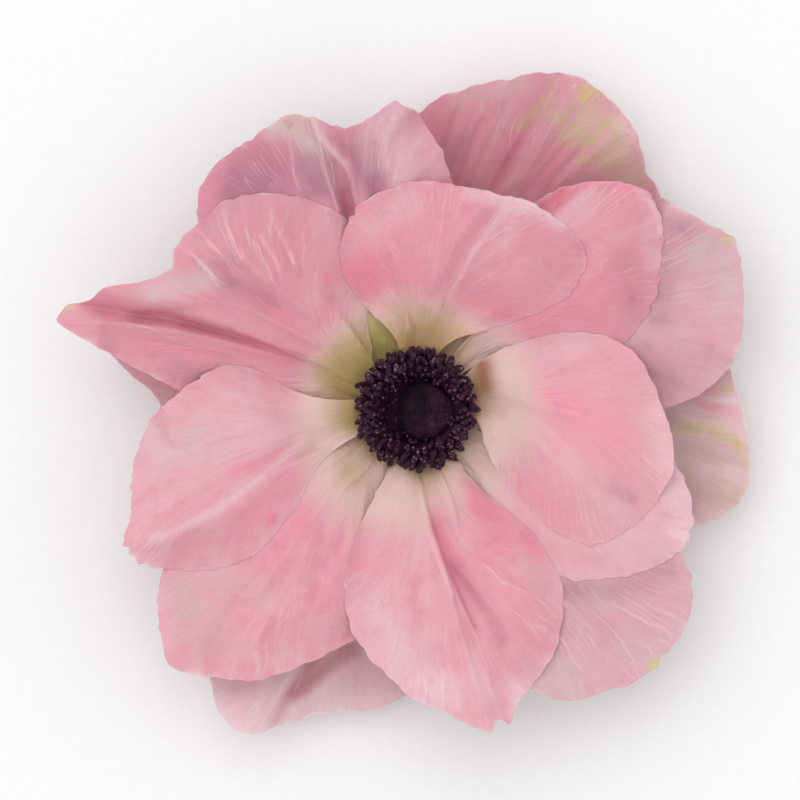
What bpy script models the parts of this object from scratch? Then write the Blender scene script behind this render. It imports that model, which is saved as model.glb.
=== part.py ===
"""Double anemone bloom, picked, lying face up on its lowest tepals and the snipped end of its stalk.

Fifteen thin tepals in four layers grow from a small receptacle, round a ring of dark stamens and a beaded dome
of pistils. +Z is up and the bloom faces it. Plan positions are in millimetres from the receptacle's axis, +X to
the right and +Y to the top of the bloom as it is seen from above. Heights are in millimetres from the claws of the
uppermost layer, until each piece is placed on the ground.
"""
import math
import random

import bmesh
import bpy
from mathutils import Vector
from mathutils.bvhtree import BVHTree

MM = 0.001

# The bloom
CENTRE_X = 1.36          # the receptacle's axis, from the middle of the bloom's outline
CENTRE_Y = -0.57
GROUND = 7.2             # height of the uppermost claws over the ground

# Tepals
TEPAL_THICKNESS = 0.8    # real ones are thinner; this keeps every blade solid
CLAW_RADIUS = 4.7        # from the receptacle's axis to the tepals' narrow ends
CLAW_HALF_WIDTH = 2.1
ROWS = 8                 # rows of faces from claw to margin
CLEARANCE = 0.4          # between a tepal and the one it lies under
VEIN_BEND = 0.45         # how far a vein runs along the tepal's axis before it fans out
VEIN_FAN = 0.25          # how much further if it ends far to the side
WAVE_HEIGHT = 0.5        # of the margins' gentle waves
WAVE_POINTS = 4.4        # length of a wave, in margin points

# Each layer's height at the claws, its slope there, and how much it curves up (per mm). The lowest layer sags
# to the ground half way along and rises again to its margin.
LAYERS = (
    (0.0, 0.52, -0.0072),
    (-1.05, 0.50, -0.0072),
    (-2.1, 0.46, -0.0073),
    (-3.2, -0.42, 0.0125),
)

# Receptacle, pistil dome and stamens
RECEPTACLE_RADIUS = 4.3
PEG_RADIUS = 3.4         # the top of the receptacle, which carries the dome
PEG_TOP = 2.2
STALK_RADIUS = 2.2
DOME_RADIUS = 3.7
DOME_HEIGHT = 4.4
DOME_SHIFT = (0.3, -0.2)  # the dome leans a little to the lower right
RING_INNER = 4.2
RING_OUTER = 6.7
ANTHER_LENGTH = 1.8
ANTHER_WIDTH = 1.4

# Rings of anthers: radius, height of the anther's middle, how many, and tilt from upright in degrees
ANTHER_RINGS = (
    (4.5, 4.9, 15, 0),
    (5.3, 5.3, 18, 15),
    (6.1, 5.0, 21, 35),
    (6.8, 4.2, 24, 55),
    (7.2, 3.1, 26, 80),
)

# Colours
PINK = (0.78, 0.36, 0.46, 1.0)
DUSTY_PINK = (0.62, 0.34, 0.38, 1.0)
GREEN = (0.30, 0.38, 0.12, 1.0)
NEAR_BLACK = (0.020, 0.010, 0.024, 1.0)
DARK_PURPLE = (0.030, 0.008, 0.030, 1.0)

# The tepals, uppermost first. The margin runs from the counterclockwise side, round the tip, to the clockwise
# side, and a vein ends at each of its points. A fold runs along the veins: the place on the margin where it ends,
# counted in points, its half width in points, its height in mm (below 0 is a valley), and the part of the vein's
# length where it begins. "tip" raises or lowers the tepal's end, and "sides" its two flanks, in mm.
TEPALS = [
    {
        "name": "tepal_top",
        "layer": 0,
        "claw": 90,
        "margin": [
            (-5.4, 11.9), (-7.6, 14.6), (-9.4, 17.6), (-10.1, 20.8), (-9.1, 23.8), (-6.6, 27.0), (-2.6, 29.0),
            (1.0, 29.5), (5.0, 29.0), (9.6, 28.1), (14.6, 26.7), (18.8, 24.3), (21.6, 21.5), (22.1, 18.3),
            (20.0, 15.0), (16.6, 12.9), (12.2, 11.3), (7.8, 9.8),
        ],
        "folds": [(8.6, 0.9, -1.3, 0.1), (10.2, 1.0, 1.0, 0.2), (5.0, 1.2, 0.6, 0.4)],
        "tip": -0.6,
        "sides": 0.6,
    },
    {
        "name": "tepal_right",
        "layer": 0,
        "claw": 18,
        "margin": [
            (7.4, 5.7), (10.6, 7.4), (14.8, 9.0), (18.4, 9.9), (21.6, 10.1), (25.4, 9.2), (28.2, 7.4), (30.4, 3.9),
            (32.4, -0.5), (33.8, -4.8), (33.4, -8.4), (31.7, -11.3), (29.6, -13.8), (26.4, -16.5), (22.9, -17.8),
            (19.8, -16.9), (16.2, -14.4), (12.6, -10.9), (10.4, -7.6), (8.8, -4.4),
        ],
        "folds": [(6.0, 1.2, 0.7, 0.4), (12.4, 0.8, -1.3, 0.55), (14.2, 1.0, 0.8, 0.4)],
        "tip": -0.6,
        "sides": 0.6,
    },
    {
        "name": "tepal_bottom",
        "layer": 0,
        "claw": -84,
        "margin": [
            (5.4, -6.8), (8.4, -10.3), (12.2, -13.3), (15.2, -16.2), (17.7, -19.9), (18.9, -23.4), (19.0, -27.8),
            (17.6, -32.4), (14.8, -36.0), (13.1, -38.5), (12.2, -41.0), (10.9, -40.4), (9.8, -41.9), (7.0, -41.0),
            (3.2, -38.9), (-0.5, -37.0), (-4.2, -34.3), (-7.4, -30.8), (-9.1, -26.2), (-9.3, -21.6), (-8.2, -17.1),
            (-6.4, -13.2), (-4.8, -9.9), (-3.7, -7.6),
        ],
        "folds": [(10.6, 0.8, -1.6, 0.1), (12.2, 0.9, 1.6, 0.1), (6.2, 1.0, 0.7, 0.4), (17.0, 1.2, 0.6, 0.4)],
        "tip": -1.0,
        "sides": 0.6,
    },
    {
        "name": "tepal_left",
        "layer": 0,
        "claw": 185,
        "margin": [
            (-15.1, -12.1), (-18.2, -16.1), (-21.8, -19.4), (-26.0, -20.6), (-31.0, -20.9), (-35.3, -20.4),
            (-37.9, -17.4), (-37.2, -13.8), (-36.7, -9.6), (-35.9, -5.0), (-33.9, -0.9), (-30.4, 2.5),
            (-27.4, 4.2), (-24.2, 5.7), (-20.6, 5.2),
        ],
        "folds": [(5.8, 1.0, 1.7, 0.25), (4.0, 0.9, -0.8, 0.4), (9.6, 1.2, 0.5, 0.5)],
        "tip": -0.6,
        "sides": 0.6,
    },
    {
        "name": "tepal_upper_right",
        "layer": 1,
        "claw": 58,
        "margin": [
            (2.8, 10.6), (3.6, 14.4), (5.6, 18.2), (8.6, 21.8), (12.0, 25.0), (16.0, 27.0), (20.0, 29.2),
            (23.6, 29.6), (26.4, 29.5), (30.2, 28.1), (32.0, 24.9), (31.9, 21.0), (31.5, 17.5), (31.0, 14.2),
            (28.8, 10.2), (24.8, 7.4), (19.2, 6.6), (13.6, 6.2),
        ],
        "folds": [(7.0, 0.8, 1.2, 0.35), (5.8, 0.8, -0.8, 0.4), (10.6, 1.0, 0.5, 0.4)],
        "tip": 0.4,
        "sides": 0.9,
    },
    {
        "name": "tepal_lower_right",
        "layer": 1,
        "claw": -31,
        "margin": [
            (13.0, -0.8), (18.0, 0.4), (23.2, 0.6), (27.8, -1.0), (31.6, -3.8), (34.0, -7.3),
            (35.5, -11.2), (35.9, -14.8), (34.9, -18.0), (31.8, -20.2), (28.2, -21.6), (24.0, -22.1),
            (19.4, -21.9), (15.0, -19.6), (11.4, -15.9), (8.4, -12.0), (6.0, -8.6),
        ],
        "folds": [(6.6, 1.0, 0.6, 0.5), (9.4, 0.9, -0.6, 0.5)],
        "tip": 0.0,
        "sides": 0.9,
    },
    {
        "name": "tepal_lower_left",
        "layer": 1,
        "claw": -142,
        "margin": [
            (-2.6, -9.4), (-2.8, -13.6), (-3.0, -18.4), (-3.8, -23.2), (-5.6, -27.4), (-8.6, -30.4),
            (-12.6, -32.3), (-16.9, -34.0), (-21.2, -35.2), (-25.6, -34.8), (-29.6, -34.3), (-32.1, -33.0),
            (-33.0, -29.0), (-33.2, -25.0), (-32.6, -20.6), (-29.6, -15.8), (-24.6, -11.0), (-18.6, -6.8),
            (-13.0, -3.8), (-9.0, -1.6),
        ],
        "folds": [(8.2, 1.0, 0.8, 0.4), (9.8, 0.8, -0.9, 0.4), (5.4, 1.0, -0.5, 0.5)],
        "tip": 0.4,
        "sides": 0.9,
    },
    {
        "name": "tepal_pointed",
        "layer": 1,
        "claw": 155,
        "margin": [
            (-9.6, -0.6), (-13.6, -1.2), (-18.8, -0.8), (-24.8, 0.4), (-30.4, 2.2), (-35.2, 4.8), (-39.6, 7.1),
            (-43.4, 9.2), (-46.5, 11.4), (-45.0, 13.5), (-42.4, 14.0), (-40.2, 15.7), (-35.6, 16.5), (-31.8, 18.2),
            (-30.9, 21.2), (-27.9, 24.5), (-23.7, 27.2), (-18.6, 28.1), (-13.4, 27.2), (-8.8, 24.6), (-6.4, 20.6),
            (-6.1, 15.6), (-6.3, 11.4), (-5.8, 7.8),
        ],
        "folds": [
            (9.4, 0.9, -2.6, 0.05), (11.4, 1.0, 1.6, 0.1), (6.6, 0.9, -1.2, 0.25), (7.8, 0.7, 1.2, 0.3),
            (16.0, 1.2, 0.7, 0.4),
        ],
        "tip": 0.5,
        "sides": 0.9,
    },
    {
        "name": "tepal_two_lobed",
        "layer": 2,
        "claw": 120,
        "margin": [
            (-28.0, 21.4), (-28.5, 27.3), (-25.6, 31.9),
            (-20.6, 35.7), (-15.8, 38.5), (-12.4, 37.5), (-9.2, 36.4), (-6.2, 37.7), (-2.8, 39.8), (0.4, 38.2),
            (2.6, 34.8), (4.4, 30.0), (4.8, 24.6), (3.6, 18.6),
        ],
        "folds": [
            (4.4, 0.8, 1.3, 0.3), (5.8, 0.8, -2.0, 0.25), (7.0, 0.7, 1.5, 0.3), (9.2, 0.9, -0.7, 0.5),
        ],
        "tip": 0.5,
        "sides": 0.9,
    },
    {
        "name": "tepal_right_back",
        "layer": 2,
        "claw": 38,
        "margin": [
            (7.6, 10.8), (12.6, 16.2), (18.6, 21.4), (25.2, 25.4), (31.4, 27.5), (34.6, 25.7), (38.0, 24.2),
            (41.2, 22.2), (42.2, 18.4), (42.6, 13.6), (42.0, 9.0), (40.2, 5.1), (36.9, 2.0), (32.6, 0.2),
            (26.8, -1.2), (20.0, -1.2), (13.6, 0.2),
        ],
        "folds": [(7.2, 0.9, 0.9, 0.5), (9.0, 0.8, -0.8, 0.5), (11.0, 0.8, 0.6, 0.5)],
        "tip": 0.0,
        "sides": 0.9,
    },
    {
        "name": "tepal_lower_right_outer",
        "layer": 2,
        "claw": -54,
        "margin": [
            (12.4, -4.6), (19.0, -7.4), (25.8, -10.6), (31.4, -14.4), (34.6, -18.6), (35.6, -23.4), (35.0, -28.4),
            (32.2, -32.6), (28.6, -35.6), (24.8, -36.6), (21.2, -37.7), (17.2, -37.2), (13.6, -35.2), (10.4, -30.6),
            (7.8, -24.4), (5.8, -17.4),
        ],
        "folds": [(7.6, 0.8, -1.3, 0.3), (6.4, 0.8, 0.9, 0.4), (9.6, 0.9, 0.6, 0.5)],
        "tip": 0.0,
        "sides": 0.9,
    },
    {
        "name": "tepal_bottom_left_back",
        "layer": 3,
        "claw": -112,
        "margin": [
            (1.4, -13.0), (2.8, -20.0), (3.6, -27.2), (2.6, -33.4), (-1.2, -37.2), (-6.4, -39.3), (-11.6, -39.8),
            (-16.8, -40.8), (-21.4, -42.6), (-24.8, -40.4), (-26.6, -36.6), (-27.0, -31.2), (-24.0, -24.4),
            (-18.4, -17.6), (-11.8, -11.6),
        ],
        "folds": [(8.4, 0.7, 1.9, 0.4), (7.2, 0.8, -1.4, 0.4), (5.4, 0.8, -0.8, 0.4), (6.3, 0.7, 0.6, 0.4)],
        "tip": 0.0,
        "sides": 0.5,
    },
    {
        "name": "tepal_left_back",
        "layer": 3,
        "claw": 177,
        "margin": [
            (-12.6, -5.4), (-19.6, -8.0), (-26.4, -8.4), (-31.4, -4.4), (-34.0, 1.6), (-37.4, 4.7), (-40.3, 7.6),
            (-39.4, 11.2), (-34.0, 13.0), (-27.0, 12.8), (-19.6, 10.6), (-12.8, 6.8),
        ],
        "folds": [(6.0, 0.8, 0.6, 0.5)],
        "tip": 0.0,
        "sides": 0.5,
    },
    {
        "name": "tepal_top_back",
        "layer": 3,
        "claw": 76,
        "margin": [
            (-2.0, 13.6), (-4.0, 20.6), (-4.6, 28.0), (-3.0, 35.2), (1.4, 39.8), (6.8, 41.8), (12.4, 43.1),
            (18.0, 43.6), (22.8, 42.2), (26.6, 38.9), (29.0, 34.6), (30.2, 30.9), (32.0, 28.0), (30.4, 22.4),
            (24.2, 16.2), (15.8, 11.6),
        ],
        "folds": [(6.2, 0.9, 0.7, 0.4), (8.4, 0.8, -0.7, 0.4), (9.8, 0.8, 0.6, 0.5)],
        "tip": 0.0,
        "sides": 0.5,
    },
    {
        "name": "tepal_far_right_back",
        "layer": 3,
        "claw": 0,
        "margin": [
            (12.8, 5.6), (20.4, 8.4), (28.4, 9.8), (35.6, 9.2), (40.4, 6.4), (42.2, 1.4), (43.3, -3.6),
            (43.4, -8.8), (41.6, -12.7), (37.2, -14.9), (30.4, -15.4), (22.4, -13.0), (14.6, -8.4),
        ],
        "folds": [(6.0, 0.8, 0.6, 0.5), (7.6, 0.7, -0.6, 0.5)],
        "tip": 0.0,
        "sides": 0.5,
    },
]


def polar(radius, degrees):
    """Point at a radius and an angle round the receptacle's axis, in plan."""
    angle = math.radians(degrees)
    return Vector((radius * math.cos(angle), radius * math.sin(angle)))


def ease(start, value):
    """0 up to start, then rising smoothly to 1 at value 1."""
    t = min(max((value - start) / (1 - start), 0.0), 1.0)
    return t * t * (3 - 2 * t)


def tepal_height(tepal, place, along, distance):
    """Height of a tepal's upper face: place counts margin points, along runs from claw (0) to margin (1)."""
    claw_height, slope, curve = LAYERS[tepal["layer"]]
    run = distance - CLAW_RADIUS
    height = claw_height + slope * run + curve * run * run
    height += tepal["tip"] * along ** 3
    side = 2 * place / (len(tepal["margin"]) - 1) - 1
    height += tepal["sides"] * side * side * along
    wave = math.sin(math.tau * place / WAVE_POINTS + tepal["claw"])
    height += WAVE_HEIGHT * wave * along ** 3
    for middle, half_width, rise, start in tepal["folds"]:
        height += rise * math.exp(-((place - middle) / half_width) ** 2) * ease(start, along)
    return max(height, TEPAL_THICKNESS - GROUND)


def tepal_grid(tepal):
    """Points of a tepal's upper face in mm: one list per vein, each from the claw out to the margin."""
    claw = polar(CLAW_RADIUS, tepal["claw"])
    across = Vector((-claw.y, claw.x)).normalized()
    ends = [Vector(point) for point in tepal["margin"]]
    middle = sum(ends, Vector((0, 0))) / len(ends)
    heading = ((middle - claw).normalized() + claw.normalized()).normalized()
    last = len(ends) - 1
    veins = []
    for place, end in enumerate(ends):
        start = claw + across * CLAW_HALF_WIDTH * (1 - 2 * place / last)
        spread = abs(heading.cross((end - start).normalized()))
        bend = start + heading * (end - start).length * (VEIN_BEND + VEIN_FAN * spread)
        vein = []
        for row in range(ROWS + 1):
            t = row / ROWS
            point = start * (1 - t) ** 2 + bend * 2 * t * (1 - t) + end * t * t
            vein.append(Vector((point.x, point.y, tepal_height(tepal, place, t, point.length))))
        veins.append(vein)
    return veins


def highest_allowed(point, placed, reach):
    """How high a tepal may lie at a point under the tepals already placed, looking a little way to each side."""
    limit = math.inf
    for dx, dy in ((0, 0), (reach, 0), (-reach, 0), (0, reach), (0, -reach)):
        below = Vector((point.x + dx, point.y + dy, -100.0)) * MM
        for tree in placed:
            hit = tree.ray_cast(below, Vector((0, 0, 1)))[0]
            if hit is not None:
                limit = min(limit, hit.z / MM - CLEARANCE)
    return limit


def press_under(veins, placed):
    """Press a tepal down where it would touch those above it, and let the dent fade out round that place."""
    limits = [[highest_allowed(point, placed, 1.3) for point in vein] for vein in veins]
    wanted = [[point.z for point in vein] for vein in veins]
    dent = [[0.0] * len(vein) for vein in veins]
    last, end = len(veins) - 1, len(veins[0]) - 1
    for _ in range(12):
        spread = [row[:] for row in dent]
        for i in range(last + 1):
            for j in range(1, end + 1):
                near = (dent[max(i - 1, 0)][j] + dent[min(i + 1, last)][j] + dent[i][j - 1] + dent[i][min(j + 1, end)])
                smooth = near / 4
                spread[i][j] = max(smooth, wanted[i][j] - limits[i][j], 0.0)
        dent = spread
    for i, vein in enumerate(veins):
        for j, point in enumerate(vein):
            point.z = wanted[i][j] - dent[i][j]


def material(name, colour, roughness):
    """Principled material of one plain colour."""
    made = bpy.data.materials.new(name)
    made.use_nodes = True
    shader = made.node_tree.nodes["Principled BSDF"]
    shader.inputs["Base Color"].default_value = colour
    shader.inputs["Roughness"].default_value = roughness
    made.diffuse_color = colour
    return made


def move_to(obj, collection):
    """Keep an object in one collection only."""
    for old in list(obj.users_collection):
        old.objects.unlink(obj)
    collection.objects.link(obj)


def add_tepal(tepal, placed, collection):
    """A grid shaped into the tepal's upper face, with its thickness below."""
    veins = tepal_grid(tepal)
    press_under(veins, placed)
    bpy.ops.mesh.primitive_grid_add(x_subdivisions=len(veins) - 1, y_subdivisions=ROWS, size=2.0)
    obj = bpy.context.active_object
    obj.name = tepal["name"]
    obj.data.name = tepal["name"]
    for vertex in obj.data.vertices:
        i = round((1 - vertex.co.x) / 2 * (len(veins) - 1))
        j = round((vertex.co.y + 1) / 2 * ROWS)
        vertex.co = veins[len(veins) - 1 - i][j] * MM
    shape = bmesh.new()
    shape.from_mesh(obj.data)
    bmesh.ops.triangulate(shape, faces=shape.faces)
    shape.to_mesh(obj.data)
    shape.free()
    obj.data.shade_smooth()
    thick = obj.modifiers.new("Thickness", "SOLIDIFY")
    thick.thickness = TEPAL_THICKNESS * MM
    thick.offset = -1
    thick.use_even_offset = False
    move_to(obj, collection)
    return obj


def add_turned(name, profile, segments, collection, ring=False):
    """A turned piece from (radius, height) points in mm: down its outer side, and for a ring back up inside."""
    mesh = bpy.data.meshes.new(name)
    edges = [(i, i + 1) for i in range(len(profile) - 1)]
    if ring:
        edges.append((len(profile) - 1, 0))
    mesh.from_pydata([(r * MM, 0, z * MM) for r, z in profile], edges, [])
    obj = bpy.data.objects.new(name, mesh)
    collection.objects.link(obj)
    turn = obj.modifiers.new("Turned", "SCREW")
    turn.steps = segments
    turn.render_steps = segments
    turn.use_merge_vertices = True
    turn.merge_threshold = 0.00001
    turn.use_smooth_shade = True
    return obj


def add_receptacle(collection):
    """The swollen end of the stalk: a peg for the dome, a collar where the tepals sit, and the cut stalk."""
    profile = [
        (0.0, PEG_TOP), (PEG_RADIUS - 0.3, PEG_TOP), (PEG_RADIUS, PEG_TOP - 0.3), (PEG_RADIUS, 0.9),
        (RECEPTACLE_RADIUS, 0.2), (RECEPTACLE_RADIUS, -4.1), (3.9, -4.8), (3.0, -5.5), (STALK_RADIUS + 0.1, -6.1),
        (STALK_RADIUS, -6.5), (STALK_RADIUS, -GROUND), (0.0, -GROUND),
    ]
    return add_turned("receptacle_with_stalk_end", profile, 24, collection)


def add_dome(collection):
    """Dome of packed pistils: half an egg on a flat base, raised into small beads."""
    bpy.ops.mesh.primitive_uv_sphere_add(segments=28, ring_count=18, radius=1.0)
    obj = bpy.context.active_object
    obj.name = "pistil_dome"
    obj.data.name = "pistil_dome"
    shape = bmesh.new()
    shape.from_mesh(obj.data)
    low = [v for v in shape.verts if v.co.z < -0.01]
    bmesh.ops.delete(shape, geom=low, context="VERTS")
    rim = [edge for edge in shape.edges if edge.is_boundary]
    bmesh.ops.edgeloop_fill(shape, edges=rim)
    for vertex in shape.verts:
        direction = vertex.co.normalized()
        bead = 0.03 * math.cos(7 * math.atan2(direction.y, direction.x) + 9 * direction.z) * (1 - direction.z ** 4)
        if vertex.co.z < 0.01:
            bead = 0.0
        vertex.co = Vector((
            direction.x * DOME_RADIUS * (1 + bead),
            direction.y * DOME_RADIUS * (1 + bead),
            direction.z * DOME_HEIGHT * (1 + bead),
        )) * MM
    bmesh.ops.triangulate(shape, faces=shape.faces)
    bmesh.ops.recalc_face_normals(shape, faces=shape.faces)
    shape.to_mesh(obj.data)
    shape.free()
    obj.data.shade_smooth()
    obj.location = Vector((DOME_SHIFT[0], DOME_SHIFT[1], PEG_TOP + 0.3)) * MM
    move_to(obj, collection)
    return obj


def add_stamens(collection):
    """A low ring that stands in for the packed filaments, with the anthers standing out of it all round."""
    random.seed(3)
    profile = [
        (RING_INNER, 4.6), (4.9, 5.2), (5.8, 5.1), (RING_OUTER - 0.3, 4.1), (RING_OUTER, 2.7),
        (RING_OUTER - 0.3, 2.0), (RING_INNER, 1.2),
    ]
    ring = add_turned("stamens", profile, 32, collection, ring=True)
    anthers = bpy.data.collections.new("anthers")
    bpy.context.scene.collection.children.link(anthers)
    for radius, height, count, tilt in ANTHER_RINGS:
        for k in range(count):
            angle = math.tau * (k + 0.35 * random.random()) / count
            bpy.ops.mesh.primitive_ico_sphere_add(subdivisions=1, radius=0.5)
            grain = bpy.context.active_object
            size = random.uniform(0.88, 1.08)
            grain.scale = (ANTHER_WIDTH * size * MM, ANTHER_WIDTH * size * MM, ANTHER_LENGTH * size * MM)
            grain.rotation_euler = (0, math.radians(tilt + random.uniform(-10, 10)), angle)
            grain.location = Vector((
                radius * math.cos(angle), radius * math.sin(angle), height + random.uniform(-0.25, 0.25),
            )) * MM
            move_to(grain, anthers)
    join = ring.modifiers.new("Anthers", "BOOLEAN")
    join.operation = "UNION"
    join.operand_type = "COLLECTION"
    join.collection = anthers
    join.solver = "MANIFOLD"
    bpy.context.view_layer.objects.active = ring
    for name in ("Turned", "Anthers"):
        bpy.ops.object.modifier_apply(modifier=name)
    for grain in list(anthers.objects):
        bpy.data.objects.remove(grain)
    bpy.data.collections.remove(anthers)
    return ring


def place(obj, root):
    """Hang a piece on the bloom's frame, which stands on the ground under the middle of the outline."""
    obj.parent = root


def build():
    """Build the whole bloom."""
    for old in list(bpy.data.objects):
        bpy.data.objects.remove(old)
    collection = bpy.data.collections.new("anemone_bloom")
    bpy.context.scene.collection.children.link(collection)
    root = bpy.data.objects.new("bloom_frame", None)
    collection.objects.link(root)

    pink = material("pink_tepal", PINK, 0.55)
    dusty = material("dusty_tepal", DUSTY_PINK, 0.6)
    green = material("green_stalk", GREEN, 0.5)
    black = material("anthers", NEAR_BLACK, 0.35)
    purple = material("pistils", DARK_PURPLE, 0.5)

    placed = []
    pieces = []
    for tepal in TEPALS:
        obj = add_tepal(tepal, placed, collection)
        obj.data.materials.append(pink if tepal["layer"] < 2 else dusty)
        bpy.context.view_layer.update()
        placed.append(BVHTree.FromObject(obj, bpy.context.evaluated_depsgraph_get()))
        pieces.append(obj)
    receptacle = add_receptacle(collection)
    receptacle.data.materials.append(green)
    dome = add_dome(collection)
    dome.data.materials.append(purple)
    stamens = add_stamens(collection)
    stamens.data.materials.append(black)
    for obj in pieces + [receptacle, dome, stamens]:
        place(obj, root)
    root.location = Vector((CENTRE_X, CENTRE_Y, GROUND)) * MM


build()
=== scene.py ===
"""Looks of the double anemone bloom: thin veined tepals, two-lobed anthers on filaments, a beaded dome of
pistils and the snipped end of the stalk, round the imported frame. Plan positions are in millimetres from the
receptacle's axis, +X to the right and +Y to the top of the bloom as the camera sees it. Heights in the tables
are in millimetres from the claws of the uppermost layer."""
import math

import bmesh
import bpy
import numpy as np
from mathutils import Matrix, Vector
from mathutils.bvhtree import BVHTree

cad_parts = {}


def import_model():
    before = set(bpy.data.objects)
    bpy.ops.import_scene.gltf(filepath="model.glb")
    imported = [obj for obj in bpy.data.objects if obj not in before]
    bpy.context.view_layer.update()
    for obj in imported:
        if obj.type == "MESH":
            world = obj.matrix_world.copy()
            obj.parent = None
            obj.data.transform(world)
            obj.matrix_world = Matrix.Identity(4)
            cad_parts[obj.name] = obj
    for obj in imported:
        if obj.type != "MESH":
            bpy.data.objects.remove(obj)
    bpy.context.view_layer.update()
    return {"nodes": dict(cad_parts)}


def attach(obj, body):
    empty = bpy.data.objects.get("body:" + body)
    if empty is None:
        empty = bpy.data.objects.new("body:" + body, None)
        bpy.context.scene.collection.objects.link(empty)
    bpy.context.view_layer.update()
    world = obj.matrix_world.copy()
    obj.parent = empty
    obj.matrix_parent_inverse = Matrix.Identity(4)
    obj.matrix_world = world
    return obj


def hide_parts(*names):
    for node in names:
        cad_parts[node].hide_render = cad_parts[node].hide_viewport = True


MM = 0.001

# The bloom's form, as in the part's source
CENTRE_X = 1.36          # the receptacle's axis, from the middle of the bloom's outline
CENTRE_Y = -0.57
GROUND = 7.2             # height of the uppermost claws over the ground
CLAW_RADIUS = 4.7        # from the receptacle's axis to the tepals' narrow ends
CLAW_HALF_WIDTH = 2.1
ROWS = 8                 # rows of faces from claw to margin in the solids
CLEARANCE = 0.4          # between a tepal's solid and the one it lies under
PRESS_REACH = 1.3        # how far to each side a tepal looks for one above it
PRESS_PASSES = 12        # how often the dent that it gets there is spread out
VEIN_BEND = 0.45         # how far a vein runs along the tepal's axis before it fans out
VEIN_FAN = 0.25          # how much further if it ends far to the side
WAVE_HEIGHT = 0.5        # of the margins' gentle waves
WAVE_POINTS = 4.4        # length of a wave, in margin points
SOLID_THICKNESS = 0.8

# Each layer's height at the claws, its slope there, and how much it curves up (per mm). The lowest layer sags
# to the ground half way along and rises again to its margin.
LAYERS = (
    (0.0, 0.52, -0.0072),
    (-1.05, 0.50, -0.0072),
    (-2.1, 0.46, -0.0073),
    (-3.2, -0.42, 0.0125),
)

# The fine surfaces
FINE_GRIDS = ((200, 74), (200, 74), (150, 56), (150, 56))  # faces round the margin and out to it, by layer
BLADE = 0.26             # thickness of a tepal near its claw
BLADE_EDGE = 0.09        # and at its margin
BLADE_GAP = 0.03         # least room under a tepal where it lies on another
BLADE_RIB = 0.10         # how much thicker some of the veins are
RIB_COLUMNS = 12         # from one rib to the next
FLOOR_GAP = 0.16         # least room under a blade over the ground
HUG_WIDTH = 8.0          # how far in from its margin a tepal bends down onto those under it
MOST_HUG = 3.2           # and how far down its margin may bend
HUG_START = 8.0          # radius from which it may bend down at all
HUG_FULL = 16.0          # and where it may bend as far as it can
WRINKLE = 0.07           # height of the fine wrinkles along the veins
RIPPLE = 0.16            # height of the broad, shallow dents
RAGGED = 0.12            # how far the margin's small teeth stand out
BROAD_TEETH = 22         # random values along a margin for its broader teeth
BROAD_RAGGED = 0.144     # and how far these stand out
FRILLS = 30              # random values along a margin for its rise and fall
FRILL = 0.14             # and how high that is
SETTLE = 0.48            # how much lower the lowest layer's thin blades lie than its thick solids
RING_SOFTNESS = 2.2      # width of the soft ends of the pale base ring and the area inside it
OLIVE_SAG = 1.6          # how much less far that area reaches at a tepal's sides
EDGE_WIDTH = 0.4         # of the painted highlight along the margins
NOISE_STEP = 1.37        # between the tepals in the map that their noise reads, so that no two are alike

# The relief over a tepal: random values across it, values along it, height, and whether it comes in patches,
# which have random values across and along of their own
RELIEF = (
    (58, 5, WRINKLE, True),
    (30, 4, 0.8 * WRINKLE, False),
    (84, 9, 0.45 * WRINKLE, True),
    (9, 5, RIPPLE, False),
)
RELIEF_PATCHES = (8, 5)
PATCH_CONTRAST = 1.5

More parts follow.
